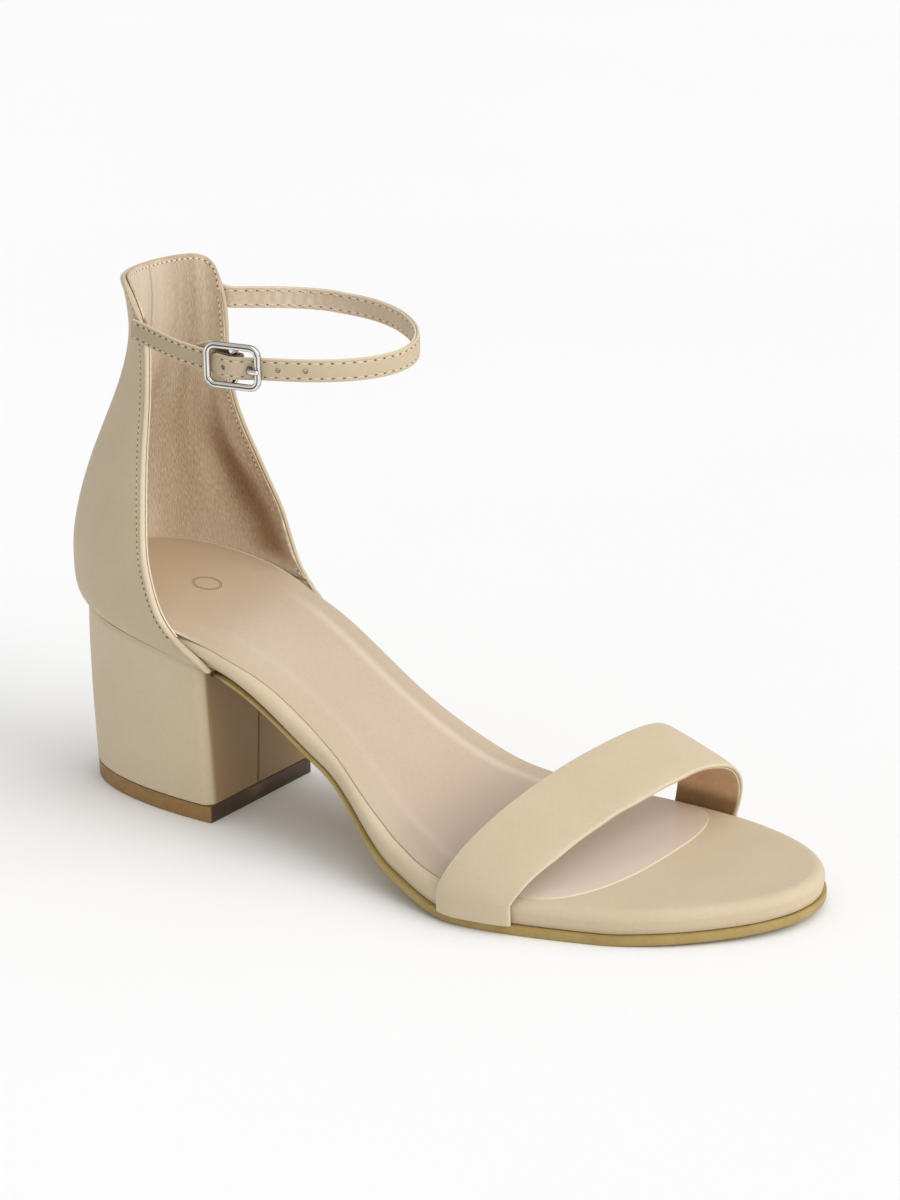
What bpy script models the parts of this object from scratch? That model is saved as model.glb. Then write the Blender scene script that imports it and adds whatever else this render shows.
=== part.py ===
"""Block-heel sandal with an ankle strap, right foot, standing empty on the floor.

X runs from the heel to the toe, Y to the inner side of the foot and Z up. Sizes and
tables are in millimetres, and MM turns them into metres where a mesh is made.
"""

import math
from collections import namedtuple

import bmesh
import bpy
import numpy as np
from mathutils import Matrix, Vector

MM = 0.001
OBJECT_NAME = "block_heel_sandal"
GAP = 0.3  # room between pieces that touch
WALL = 2.0  # wall of the heel counter, lining and stiffener included
WELD = 0.001  # points closer than this are one point
SHARP_ANGLE = 35.0  # edges that turn further, in degrees, are shaded sharp

# Footbed and outsole, a row for each cross-section. half is the half width, centre the
# middle line, top and under the two faces of the footbed, tuck how far its underside is
# drawn in, sole the outsole's thickness, welt how far the outsole stands out past the
# footbed and sock how far the sock lies inside the footbed's edge.
Section = namedtuple("Section", "x half centre top under tuck sole welt sock")
SECTIONS = (
    Section(1.8, 0.0, -0.5, 64.0, 52.8, 3.6, 1.6, -1.2, 2.4),
    Section(10, 18.0, -0.5, 63.3, 52.6, 4.4, 1.6, -1.2, 2.4),
    Section(30, 26.0, -0.5, 59.9, 51.1, 4.2, 1.6, -1.2, 2.4),
    Section(48, 27.0, -0.8, 55.8, 48.7, 3.0, 1.6, -1.2, 2.4),
    Section(62, 26.0, -1.6, 51.9, 45.9, 2.4, 1.6, -0.8, 2.0),
    Section(95, 24.6, -2.4, 33.3, 27.1, 0.8, 1.7, 0.2, 1.8),
    Section(125, 34.7, -2.4, 14.1, 7.9, 0.6, 2.2, 0.8, 3.0),
    Section(150, 41.8, -0.6, 9.0, 2.8, 0.6, 2.5, 0.8, 3.6),
    Section(186, 37.1, 3.3, 9.0, 2.8, 0.6, 2.5, 0.8, 3.6),
    Section(199, 31.9, 4.6, 9.5, 3.3, 0.6, 2.5, 0.8, 3.6),
    Section(215, 20.3, 6.9, 10.2, 4.0, 0.6, 2.5, 0.6, 3.6),
    Section(224.7, 0.0, 7.6, 11.0, 4.8, 0.6, 2.5, 0.4, 3.6),
)
SEAT_FRONT = 48.0  # the heel seat is a half superellipse behind this line
SEAT_FULLNESS = 2.25
STATIONS = 44  # cross-sections of each sole piece
CROWDING = 0.6  # how much they draw together at the ends
FOOTBED_ROLL = 3.0  # radius of the rolled top edge
ROLL_STEPS = 3
SOLE_CHAMFER = 0.5

# Side of the footbed below its roll, a row for each ring: the share of the tuck, and the
# share of the height from the underside to the top.
SideRing = namedtuple("SideRing", "tuck rise")
FOOTBED_SIDE = (
    SideRing(1.0, 0.0),
    SideRing(0.65, 0.12),
    SideRing(0.3, 0.3),
    SideRing(0.05, 0.5),
)

SOCK_THICK = 1.0
SOCK_BACK = 4.2
SOCK_FRONT = 179.7
SOCK_ROUND = 15.0  # length of the rounded front end
SOCK_TIP_SIDE = 7.0

# Covered heel block, a row for each level, and the lift under it.
HeelLevel = namedtuple("HeelLevel", "z back breast half")
HEEL_LEVELS = (
    HeelLevel(0.0, -0.7, 54.2, 22.8),
    HeelLevel(20.0, -0.7, 55.4, 24.7),
    HeelLevel(38.0, -0.1, 56.6, 26.7),
    HeelLevel(50.0, 0.8, 57.6, 28.0),
)
HEEL_FULLNESS = 2.2
HEEL_SIDE = -0.4
HEEL_STATIONS = 20
HEEL_RINGS = 6
HEEL_CORNER = 3.2
LIFT_THICK = 4.8
LIFT_CORNER = 0.6
LIFT_EDGE = 0.4
SOLE_BACK = 59.0  # the outsole stops here, in front of the heel breast

# Outer face of the heel counter, a row for each level from the feather line to the top of
# the tab. Each level is a U: back_x at the heel, edge_x and half at the two front edges,
# with its own heights there. bend says how late the height turns from one to the other.
CounterLevel = namedtuple("CounterLevel", "back_z edge_z back_x edge_x half fullness bend")
COUNTER_LEVELS = (
    CounterLevel(52.9, 46.6, 2.2, 60.0, 28.2, 2.25, 2),
    CounterLevel(55.9, 52.3, 0.2, 53.2, 29.8, 2.25, 2),
    CounterLevel(60.1, 57.9, -1.0, 48.0, 30.5, 2.25, 2),
    CounterLevel(65.8, 63.5, -0.8, 45.2, 31.0, 2.25, 2),
    CounterLevel(73.2, 73.2, -0.5, 42.4, 30.7, 2.2, 2),
    CounterLevel(81.5, 81.5, 0.6, 40.2, 28.4, 2.15, 2),
    CounterLevel(94.0, 94.0, 4.4, 37.6, 24.3, 2.1, 2),
    CounterLevel(106.6, 106.6, 10.0, 35.6, 20.1, 2.0, 2),
    CounterLevel(119.0, 119.0, 16.3, 35.4, 17.8, 2.0, 2),
    CounterLevel(131.7, 131.7, 21.1, 35.8, 17.5, 2.0, 2),
    CounterLevel(141.0, 138.5, 21.9, 34.2, 18.1, 2.0, 3),
    CounterLevel(148.4, 141.8, 21.2, 32.8, 18.7, 2.0, 4),
)
COUNTER_SIDE = -0.5
COUNTER_COLUMNS = 40
COUNTER_ROWS = 26

# The two edges of the toe strap, each an arch from the outer to the inner side of the foot.
StrapEdge = namedtuple("StrapEdge", "outer_x inner_x height outer_full inner_full crest bow")
TOE_REAR = StrapEdge(143.9, 162.0, 27.0, 1.75, 2.6, 0.77, 4.7)
TOE_FRONT = StrapEdge(165.1, 181.8, 20.9, 1.65, 2.3, 0.71, 6.8)
TOE_STRAP_THICK = 1.5
TOE_LEG_DROP = 1.0  # the arch starts this far under the footbed's top, on a straight leg
TOE_COLUMNS = 44
TOE_ROWS = 6

# Ankle strap: an oval seen from above, held by the two sides of the counter's tab.
STRAP_WIDE = 5.9
STRAP_THICK = 1.4
STRAP_FOLD_THICK = 1.1
STRAP_EASE = 0.4  # extra room beside the tab, which leans
OVAL_MIDDLE = 61.7
OVAL_FRONT = 101.0
OVAL_HALF = 30.5
OVAL_SIDE = 5.9
OUTER_SEAM_Z = 135.0
OUTER_MIDDLE_Z = 131.7
FRONT_Z = 130.3
INNER_MIDDLE_Z = 133.8
INNER_SEAM_Z = 137.4
OUTER_SEAM_START = 0.86  # where the sewn ends start, as shares of the counter's half round
INNER_SEAM_START = 0.68
SEAM_STEPS = 15
JOIN_STEPS = 15
OVAL_STEPS = 60
ROUTE_REACH = 1.5  # the line is evened out over this much on each side

# Buckle: places along the strap, distances out from the strap's own line and up.
BUCKLE_X = 70.5
BUCKLE_UP = 0.5  # the strap lies low in the frame
FRAME_LONG = 16.0
FRAME_TALL = 12.5
FRAME_ROUND = 2.4
FRAME_WIRE = 1.7
FRAME_OUT = 2.3
BAR_WIRE = 1.4
BAR_ALONG = -0.5
BAR_OUT = -0.9
FRAME_CORNER_STEPS = 4
PRONG_WIRE = 1.1
PRONG_EYE_START = -150.0  # the open eye round the bar, in degrees
PRONG_EYE_END = -320.0
PRONG_EYE_STEPS = 8
PRONG_HOLE_BACK = 2.6  # from the middle of the frame's front bar to the hole the prong is in
SLOT_LONG = 6.5  # slot in the folded strap, for the prong
SLOT_TALL = 2.2
CUT_DEEP = 12.0
HOLE = 1.8
HOLE_SIDES = 12
HOLE_PITCH = 7.0
HOLES_AHEAD = (1, 2)
HOLES_BEHIND = (-1,)
TAIL_END = -8.9

# Upper half of the centre bar, from behind the strap to the frame's rail.
BarPoint = namedtuple("BarPoint", "out up")
BAR_HALF = (
    BarPoint(BAR_OUT, 3.4),
    BarPoint(-0.4, 4.1),
    BarPoint(1.1, 5.2),
    BarPoint(FRAME_OUT, (FRAME_TALL - FRAME_WIRE) / 2),
)
# The prong's pin: distance ahead of the frame's front bar, and rise above its rest on the bar.
PinPoint = namedtuple("PinPoint", "ahead rise")
PRONG_PIN = (
    PinPoint(-3.6, -3.6),
    PinPoint(-1.7, -0.5),
    PinPoint(-0.7, 0.0),
    PinPoint(1.2, -0.1),
)

# The long strap's way through the buckle, and the short strap's fold: place along the strap
# from the buckle's middle, and distance out from the strap's own line.
Weave = namedtuple("Weave", "along out")
LONG_WEAVE = (
    Weave(TAIL_END, 0.35),
    Weave(-7.2, 0.45),
    Weave(-0.5, 2.25),
    Weave(7.2, 0.35),
    Weave(15.0, 0.0),
    Weave(200.0, 0.0),
)
SHORT_WEAVE = (
    Weave(-80.0, 0.0),
    Weave(-22.0, 0.0),
    Weave(-7.0, -1.0),
    Weave(-0.5, 0.65),
)
FOLD_END = -15.0
FOLD_STEPS = 8
WEAVE_END = 16.0  # the long strap runs plain past this place
WEAVE_STEP = 0.9
ONWARD_STEPS = 43
BEND_START = -24.0  # the short strap runs plain up to this place
SEWN_STEPS = 13
BEND_STEPS = 23
RETURN_STEPS = 15

Finish = namedtuple("Finish", "colour roughness metallic")
COVER = Finish((0.56, 0.45, 0.32), 0.75, 0.0)
SOCK_FACE = Finish((0.60, 0.46, 0.36), 0.45, 0.0)
SOLE_RUBBER = Finish((0.34, 0.24, 0.09), 0.55, 0.0)
LIFT_RUBBER = Finish((0.20, 0.12, 0.045), 0.55, 0.0)
NICKEL = Finish((0.72, 0.71, 0.69), 0.18, 1.0)


def smooth(places, values, at):
    """Read a smooth curve through a table's column, level wherever two rows are equal."""
    places = np.asarray(places, float)
    values = np.asarray(values, float)
    at = np.asarray(at, float)
    step = np.diff(places)
    slope = np.diff(values) / step
    tangent = np.concatenate([slope[:1], np.zeros(len(slope) - 1), slope[-1:]])
    for i in range(1, len(slope)):
        before, after = slope[i - 1], slope[i]
        if before * after > 0:
            lead = 2 * step[i] + step[i - 1]
            trail = step[i] + 2 * step[i - 1]
            tangent[i] = (lead + trail) / (lead / before + trail / after)
    i = np.clip(np.searchsorted(places, at) - 1, 0, len(step) - 1)
    t = (at - places[i]) / step[i]
    rise = values[i + 1] - values[i]
    start = step[i] * tangent[i]
    end = step[i] * tangent[i + 1]
    return values[i] + t * (start + t * (3 * rise - 2 * start - end + t * (start + end - 2 * rise)))


def column(table, name, at, along="x"):
    """Read one named column of a table at a place along it."""
    return smooth([getattr(row, along) for row in table], [getattr(row, name) for row in table], at)


def spread(first, last, count, crowding=CROWDING):
    """Places from first to last that crowd together at both ends."""
    even = np.linspace(0, 1, count)
    crowded = (1 - np.cos(even * math.pi)) / 2
    return first + (last - first) * (even + (crowded - even) * crowding)


def footbed_half(x):
    """Half width of the footbed: the heel seat's superellipse, then the table."""
    x = np.asarray(x, float)
    back = SECTIONS[0].x
    seat = next(row for row in SECTIONS if row.x == SEAT_FRONT)
    share = np.clip((SEAT_FRONT - x) / (SEAT_FRONT - back), 0, 1)
    seat_half = seat.half * (1 - share**SEAT_FULLNESS) ** (1 / SEAT_FULLNESS)
    squared = smooth([row.x for row in SECTIONS], [row.half**2 for row in SECTIONS], x)
    return np.where(x < SEAT_FRONT, seat_half, np.sqrt(np.maximum(squared, 0)))


def outline(x, half, centre):
    """Closed plan outline, down the outer side and back up the inner side."""
    outer = np.stack([x, centre - half], axis=1)
    inner = np.stack([x, centre + half], axis=1)
    return np.vstack([outer, inner[::-1]])


def inset(loop, distance):
    """Move a closed outline inwards by a distance, one value or one for each point."""
    keep = np.linalg.norm(loop - np.roll(loop, 1, axis=0), axis=1) > WELD
    points = loop[keep]
    tangent = np.roll(points, -1, axis=0) - np.roll(points, 1, axis=0)
    normal = np.stack([tangent[:, 1], -tangent[:, 0]], axis=1)
    normal /= np.linalg.norm(normal, axis=1, keepdims=True)
    distance = np.broadcast_to(distance, len(loop))[keep]
    moved = points - normal * distance[:, None]
    return moved[(np.cumsum(keep) - 1) % len(moved)]


def lifted(loop, height):
    """Give a plan outline its heights."""
    return np.column_stack([loop, np.broadcast_to(height, len(loop))])


def make_material(name, finish):
    """Principled material with one colour."""
    material = bpy.data.materials.new(name)
    material.use_nodes = True
    shader = material.node_tree.nodes["Principled BSDF"]
    shader.inputs["Base Color"].default_value = (*finish.colour, 1.0)
    shader.inputs["Roughness"].default_value = finish.roughness
    shader.inputs["Metallic"].default_value = finish.metallic
    return material


def add_object(name, mesh, collection, material=None):
    """Put a mesh in a collection as a named object, shaded smooth up to sharp edges."""
    mesh.shade_smooth()
    mesh.set_sharp_from_angle(angle=math.radians(SHARP_ANGLE))
    obj = bpy.data.objects.new(name, mesh)
    collection.objects.link(obj)
    if material:
        mesh.materials.append(material)
    return obj


def finish_mesh(name, bm):
    """Weld, turn the faces outwards and store a bmesh as a mesh."""
    bmesh.ops.remove_doubles(bm, verts=bm.verts, dist=WELD * MM)
    bmesh.ops.recalc_face_normals(bm, faces=bm.faces)
    mesh = bpy.data.meshes.new(name)
    bm.to_mesh(mesh)
    bm.free()
    return mesh


def loft(name, rings):
    """Closed solid through rings of equal count, capped by strips from side to side."""
    bm = bmesh.new()
    loops = [[bm.verts.new(Vector(point) * MM) for point in ring] for ring in rings]
    count = len(loops[0])
    for lower, upper in zip(loops, loops[1:]):
        for i in range(count):
            j = (i + 1) % count
            bm.faces.new((lower[i], lower[j], upper[j], upper[i]))
    for loop in (loops[0], loops[-1]):
        for i in range(count // 2 - 1):
            bm.faces.new((loop[i], loop[i + 1], loop[-i - 2], loop[-i - 1]))
    return finish_mesh(name, bm)


def sheet(name, rows):
    """Open surface through rows of points that run from the outer to the inner side."""
    bm = bmesh.new()
    lines = [[bm.verts.new(Vector(point) * MM) for point in row] for row in rows]
    for lower, upper in zip(lines, lines[1:]):
        for i in range(len(lower) - 1):
            bm.faces.new((lower[i], upper[i], upper[i + 1], lower[i + 1]))
    mesh = bpy.data.meshes.new(name)
    bm.to_mesh(mesh)
    bm.free()
    return mesh


def thicken(obj, thickness):
    """Give an open surface a wall on its inner side."""
    wall = obj.modifiers.new("wall", "SOLIDIFY")
    wall.thickness = thickness * MM
    wall.offset = -1.0
    wall.use_even_offset = True


def wire_mesh(name, points, diameter, closed=False, sides=2):
    """Round wire along points, made a mesh with its caps welded."""
    curve = bpy.data.curves.new(name, "CURVE")
    curve.dimensions = "3D"
    curve.bevel_depth = diameter / 2 * MM
    curve.bevel_resolution = sides
    curve.use_fill_caps = True
    spline = curve.splines.new("POLY")
    spline.points.add(len(points) - 1)
    for target, point in zip(spline.points, points):
        target.co = (*(Vector(point) * MM), 1.0)
    spline.use_cyclic_u = closed
    holder = bpy.data.objects.new(name, curve)
    bpy.context.scene.collection.objects.link(holder)
    graph = bpy.context.evaluated_depsgraph_get()
    mesh = bpy.data.meshes.new_from_object(holder.evaluated_get(graph))
    bpy.data.objects.remove(holder)
    bpy.data.curves.remove(curve)
    bm = bmesh.new()
    bm.from_mesh(mesh)
    bpy.data.meshes.remove(mesh)
    return finish_mesh(name, bm)


def combine(obj, other, operation):
    """Boolean with a helper object."""
    modifier = obj.modifiers.new(operation.lower(), "BOOLEAN")
    modifier.operation = operation
    modifier.object = other


def footbed_mesh():
    """Covered insole board: heel seat, arch and flat forefoot with a rolled top edge."""
    x = spread(SECTIONS[0].x, SECTIONS[-1].x, STATIONS + 1)
    edge = outline(x, footbed_half(x), column(SECTIONS, "centre", x))
    tuck = column(SECTIONS, "tuck", edge[:, 0])
    rings = []
    for ring in FOOTBED_SIDE:
        loop = inset(edge, tuck * ring.tuck)
        under = column(SECTIONS, "under", loop[:, 0])
        top = column(SECTIONS, "top", loop[:, 0])
        rings.append(lifted(loop, under + (top - under) * ring.rise))
    for angle in np.linspace(0, math.pi / 2, ROLL_STEPS + 1):
        loop = inset(edge, FOOTBED_ROLL * (1 - math.cos(angle)))
        top = column(SECTIONS, "top", loop[:, 0])
        rings.append(lifted(loop, top - FOOTBED_ROLL * (1 - math.sin(angle))))
    return loft("footbed", rings)


def outsole_mesh():
    """Thin outsole from the heel breast to the toe, flat on the floor under the ball."""
    x = spread(SOLE_BACK, SECTIONS[-1].x, STATIONS + 1)
    edge = outline(x, footbed_half(x), column(SECTIONS, "centre", x))
    welt = column(SECTIONS, "welt", edge[:, 0])
    rings = []
    tread, side, feather = (SOLE_CHAMFER, 1.0, 0.0), (0.0, 1.0, SOLE_CHAMFER), (0.0, 0.0, 0.0)
    for drawn_in, share, rise in (tread, side, feather):
        loop = inset(edge, drawn_in - welt)
        loop[:, 0] = np.maximum(loop[:, 0], SOLE_BACK)
        top = column(SECTIONS, "under", loop[:, 0]) - GAP
        rings.append(lifted(loop, top - share * column(SECTIONS, "sole", loop[:, 0]) + rise))
    return loft("outsole", rings)


def sock_mesh():
    """Sock lining on the footbed, with a blunt round front end."""
    x = spread(SOCK_BACK, SOCK_FRONT, STATIONS + 1)
    room = np.maximum(footbed_half(x) - column(SECTIONS, "sock", x), 0)
    room[0] = 0
    share = np.clip((x - (SOCK_FRONT - SOCK_ROUND)) / SOCK_ROUND, 0, 1)
    half = room * np.sqrt(1 - share**2)
    middle = column(SECTIONS, "centre", x)
    centre = middle + (SOCK_TIP_SIDE - middle) * share**2
    edge = outline(x, half, centre)
    top = column(SECTIONS, "top", edge[:, 0])
    low = lifted(edge, top + GAP)
    high = lifted(edge, top + GAP + SOCK_THICK)
    return loft("sock", [low, high])


def heel_outline(z, corner, stations=HEEL_STATIONS):
    """D-shaped plan of the heel at a height, with the breast corners rounded."""
    back = column(HEEL_LEVELS, "back", z, "z")
    breast = column(HEEL_LEVELS, "breast", z, "z")
    half = column(HEEL_LEVELS, "half", z, "z")
    x = spread(back, breast, stations + 1)
    round_back = (1 - ((breast - x) / (breast - back)) ** HEEL_FULLNESS) ** (1 / HEEL_FULLNESS)
    past = np.clip((x - breast + corner) / corner, 0, 1)
    return outline(x, half * round_back - corner * (1 - np.sqrt(1 - past**2)), HEEL_SIDE)


def heel_mesh():
    """Heel block from the lift up to the underside of the footbed."""
    bottom = LIFT_THICK + GAP
    top_row = HEEL_LEVELS[-1].z
    rings = []
    for share in np.linspace(0, 1, HEEL_RINGS):
        loop = heel_outline(bottom + (top_row - bottom) * share, HEEL_CORNER)
        under = column(SECTIONS, "under", np.maximum(loop[:, 0], SECTIONS[0].x)) - GAP
        rings.append(lifted(loop, bottom + (under - bottom) * share))
    return loft("heel_block", rings)


def lift_mesh():
    """Rubber lift, flat on the floor."""
    edge = heel_outline(0.0, LIFT_CORNER)
    low = lifted(inset(edge, LIFT_EDGE), 0.0)
    middle = lifted(edge, LIFT_EDGE)
    high = lifted(edge, LIFT_THICK)
    return loft("top_lift", [low, middle, high])


def counter_point(turn, level, out=0.0):
    """Point of the counter's outer face: turn from -1 to 1 round the U, level in table rows."""
    rows = np.arange(len(COUNTER_LEVELS))
    read = {name: smooth(rows, [getattr(row, name) for row in COUNTER_LEVELS], level)
            for name in CounterLevel._fields}
    angle = turn * math.pi / 2
    power = 2 / read["fullness"]
    side = np.sign(turn) * np.abs(np.sin(angle)) ** power
    reach = np.cos(angle).clip(0) ** power
    x = read["edge_x"] - (read["edge_x"] - read["back_x"] + out) * reach
    y = COUNTER_SIDE + (read["half"] + out) * side
    late = (1 - np.cos(angle)) ** read["bend"]
    z = read["back_z"] + (read["edge_z"] - read["back_z"]) * late
    return np.stack(np.broadcast_arrays(x, y, z), axis=-1)


def counter_level_at(z):
    """Level of the counter whose back stands at a height."""
    heights = [row.back_z for row in COUNTER_LEVELS]
    return float(np.interp(z, heights, np.arange(len(heights))))


def counter_mesh():
    """Outer face of the heel counter, ready to be thickened inwards."""
    turns = np.linspace(-1, 1, COUNTER_COLUMNS + 1)
    levels = np.linspace(0, len(COUNTER_LEVELS) - 1, COUNTER_ROWS + 1)
    return sheet("heel_counter", [counter_point(turns, level) for level in levels])


def strap_arch(edge):
    """One edge of the toe strap: two legs, and two quarter superellipses that meet at the crest."""
    room = GAP + TOE_STRAP_THICK
    ends = []
    feet = []
    for x, side in ((edge.outer_x, -1), (edge.inner_x, 1)):
        y = column(SECTIONS, "centre", x) + side * (footbed_half(x) + room)
        ends.append(np.array([x, y, column(SECTIONS, "top", x) - TOE_LEG_DROP]))
        feet.append(np.array([x, y, column(SECTIONS, "under", x)]))
    across = np.cos(np.linspace(math.pi, 0, TOE_COLUMNS + 1))
    outer = across < 0
    power = np.where(outer, 2 / edge.outer_full, 2 / edge.inner_full)
    reach = np.abs(across) ** power
    share = np.where(outer, edge.crest * (1 - reach), edge.crest + (1 - edge.crest) * reach)
    rise = np.sqrt(1 - across**2) ** power
    points = ends[0] + (ends[1] - ends[0]) * share[:, None]
    points[:, 2] += edge.height * rise
    points[:, 0] += edge.bow * rise
    return np.vstack([feet[:1], points, feet[1:]])


def toe_strap_mesh():
    """Outer face of the toe strap, ready to be thickened inwards."""
    rows = []
    for share in np.linspace(0, 1, TOE_ROWS + 1):
        edge = StrapEdge(*(rear + (front - rear) * share for rear, front in zip(TOE_REAR, TOE_FRONT)))
        rows.append(strap_arch(edge))
    return sheet("toe_strap", rows)


class StrapRoute:
    """Middle line of the ankle strap, measured along it from the buckle's middle."""

    def __init__(self):
        stand_off = GAP + STRAP_EASE + STRAP_THICK / 2
        outer_sewn = -np.linspace(OUTER_SEAM_START, 1, SEAM_STEPS)
        inner_sewn = np.linspace(1, INNER_SEAM_START, SEAM_STEPS)
        outer_seam = counter_point(outer_sewn, counter_level_at(OUTER_SEAM_Z), stand_off)
        inner_seam = counter_point(inner_sewn, counter_level_at(INNER_SEAM_Z), stand_off)
        turn = np.linspace(-math.pi / 2, math.pi / 2, OVAL_STEPS + 1)
        side = np.sin(turn)
        middle = np.where(side < 0, OUTER_MIDDLE_Z, INNER_MIDDLE_Z)
        oval = np.stack([
            OVAL_MIDDLE + (OVAL_FRONT - OVAL_MIDDLE) * np.cos(turn),
            OVAL_SIDE + OVAL_HALF * side,
            FRONT_Z + (middle - FRONT_Z) * side**2,
        ], axis=1)
        outer_join = self.join(outer_seam[-1], oval[0])
        inner_join = self.join(inner_seam[0], oval[-1])[::-1]
        self.points = np.vstack([outer_seam, outer_join, oval, inner_join, inner_seam])
        step = np.linalg.norm(np.diff(self.points, axis=0), axis=1)
        place = np.concatenate([[0], np.cumsum(step)])
        oval_start = len(outer_seam) + len(outer_join)
        outer_half = slice(oval_start, oval_start + OVAL_STEPS // 2)
        buckle = np.interp(BUCKLE_X, self.points[outer_half, 0], place[outer_half])
        self.place = place - buckle

    @staticmethod
    def join(start, end):
        """Free stretch that leaves the counter and swings out to the oval's side."""
        t = np.linspace(0, 1, JOIN_STEPS)[1:-1, None]
        swing = np.sin(t * math.pi / 2)
        points = start + (end - start) * t
        points[:, 1:2] = start[1] + (end[1] - start[1]) * swing
        return points

    def point(self, along):
        """Points of the line at places along it."""
        return np.stack([np.interp(along, self.place, axis) for axis in self.points.T], axis=-1)

    def frame(self, along):
        """Point, direction, outward side and up direction at places along the strap."""
        along = np.asarray(along, float)
        before = self.point(along - ROUTE_REACH)
        after = self.point(along + ROUTE_REACH)
        middle = (before + 2 * self.point(along) + after) / 4
        ahead = after - before
        ahead /= np.linalg.norm(ahead, axis=-1, keepdims=True)
        out = np.stack([ahead[..., 1], -ahead[..., 0], np.zeros(along.shape)], axis=-1)
        out /= np.linalg.norm(out, axis=-1, keepdims=True)
        return middle, ahead, out, np.cross(out, ahead)

    def stance(self, along):
        """Matrix that sets a piece on the line at a place along it."""
        middle, ahead, out, up = (Vector(value) for value in self.frame(along))
        return Matrix.Translation(middle * MM) @ Matrix((ahead, -out, up)).transposed().to_4x4()


def ribbon_mesh(name, route, along, out, thickness):
    """Flat strap along a path given as places along the route and distances out from it."""
    middle, ahead, side, up = route.frame(along)
    centre = middle + side * out[:, None]
    run = np.gradient(along)
    lean = np.gradient(out)
    length = np.hypot(run, lean)
    face = (side * run[:, None] - ahead * lean[:, None]) / length[:, None]
    rings = []
    for point, normal, rise in zip(centre, face, up):
        thick = normal * thickness / 2
        wide = rise * STRAP_WIDE / 2
        lower = [point - thick - wide, point + thick - wide]
        upper = [point + thick + wide, point - thick + wide]
        rings.append(lower + upper)
    return loft(name, rings)


def long_strap_mesh(route):
    """Holed strap from the inner side of the counter, through the buckle, to its tail."""
    through = np.arange(TAIL_END, WEAVE_END, WEAVE_STEP)
    onward = np.linspace(WEAVE_END, route.place[-1], ONWARD_STEPS + 1)[1:]
    along = np.concatenate([through, onward])
    out = column(LONG_WEAVE, "out", along, "along")
    return ribbon_mesh("ankle_strap_long", route, along, out, STRAP_THICK)


def short_strap_mesh(route):
    """Strap from the outer side of the counter, folded back round the centre bar."""
    sewn = np.linspace(route.place[0], BEND_START, SEWN_STEPS + 1)
    bent = np.linspace(BEND_START, BAR_ALONG, BEND_STEPS + 1)[1:]
    forward = np.concatenate([sewn, bent])
    radius = BAR_WIRE / 2 + GAP + STRAP_FOLD_THICK / 2
    top = SHORT_WEAVE[-1].out
    turn = np.linspace(math.pi / 2, -math.pi / 2, FOLD_STEPS + 1)[1:]
    fold_along = BAR_ALONG + radius * np.cos(turn)
    fold_out = top - radius + radius * np.sin(turn)
    back = np.linspace(BAR_ALONG, FOLD_END, RETURN_STEPS + 1)[1:]
    level = column(SHORT_WEAVE, "out", back, "along") - STRAP_FOLD_THICK - GAP
    back_out = np.minimum(level, top - 2 * radius)
    along = np.concatenate([forward, fold_along, back])
    out = np.concatenate([column(SHORT_WEAVE, "out", forward, "along"), fold_out, back_out])
    return ribbon_mesh("ankle_strap_short", route, along, out, STRAP_FOLD_THICK)


def frame_points():
    """Rounded rectangle of the buckle's frame, along and up."""
    long = (FRAME_LONG - FRAME_WIRE) / 2 - FRAME_ROUND
    tall = (FRAME_TALL - FRAME_WIRE) / 2 - FRAME_ROUND
    corners = ((long, tall), (-long, tall), (-long, -tall), (long, -tall))
    points = []
    for quarter, (x, z) in enumerate(corners):
        for angle in np.linspace(0, math.pi / 2, FRAME_CORNER_STEPS + 1) + quarter * math.pi / 2:
            along = x + FRAME_ROUND * math.cos(angle)
            up = BUCKLE_UP + z + FRAME_ROUND * math.sin(angle)
            points.append((along, -FRAME_OUT, up))
    return points


def bar_points():
    """Centre bar: bowed in behind the strap, with its ends on the frame's two rails."""
    upper = [(BAR_ALONG, -point.out, BUCKLE_UP + point.up) for point in BAR_HALF]
    lower = [(BAR_ALONG, -point.out, BUCKLE_UP - point.up) for point in BAR_HALF]
    return upper[::-1] + lower


def prong_points():
    """Prong: an open eye round the centre bar, then a pin over the front bar of the frame."""
    radius = (BAR_WIRE + PRONG_WIRE) / 2 + GAP
    points = []
    for angle in np.radians(np.linspace(PRONG_EYE_START, PRONG_EYE_END, PRONG_EYE_STEPS + 1)):
        points.append((BAR_ALONG + radius * np.cos(angle), -BAR_OUT - radius * np.sin(angle), 0.0))
    front = (FRAME_LONG - FRAME_WIRE) / 2
    rest = FRAME_OUT + (FRAME_WIRE + PRONG_WIRE) / 2 + GAP
    for point in PRONG_PIN:
        points.append((front + point.ahead, -rest - point.rise, 0.0))
    return points


def add_cutter(name, mesh, collection):
    """Helper object that only cuts or joins."""
    cutter = add_object(name, mesh, collection)
    cutter.hide_render = True
    cutter.display_type = "WIRE"
    return cutter


def cylinder_mesh(name, diameter, length):
    """Plain round cutter along its own Y."""
    bm = bmesh.new()
    turn = Matrix.Rotation(math.pi / 2, 4, "X")
    radius = diameter / 2 * MM
    bmesh.ops.create_cone(bm, cap_ends=True, segments=HOLE_SIDES, radius1=radius,
                          radius2=radius, depth=length * MM, matrix=turn)
    return finish_mesh(name, bm)


def box_mesh(name, size):
    """Plain box cutter."""
    bm = bmesh.new()
    bmesh.ops.create_cube(bm, size=1.0, matrix=Matrix.Diagonal((*(Vector(size) * MM), 1.0)))
    return finish_mesh(name, bm)


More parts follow.
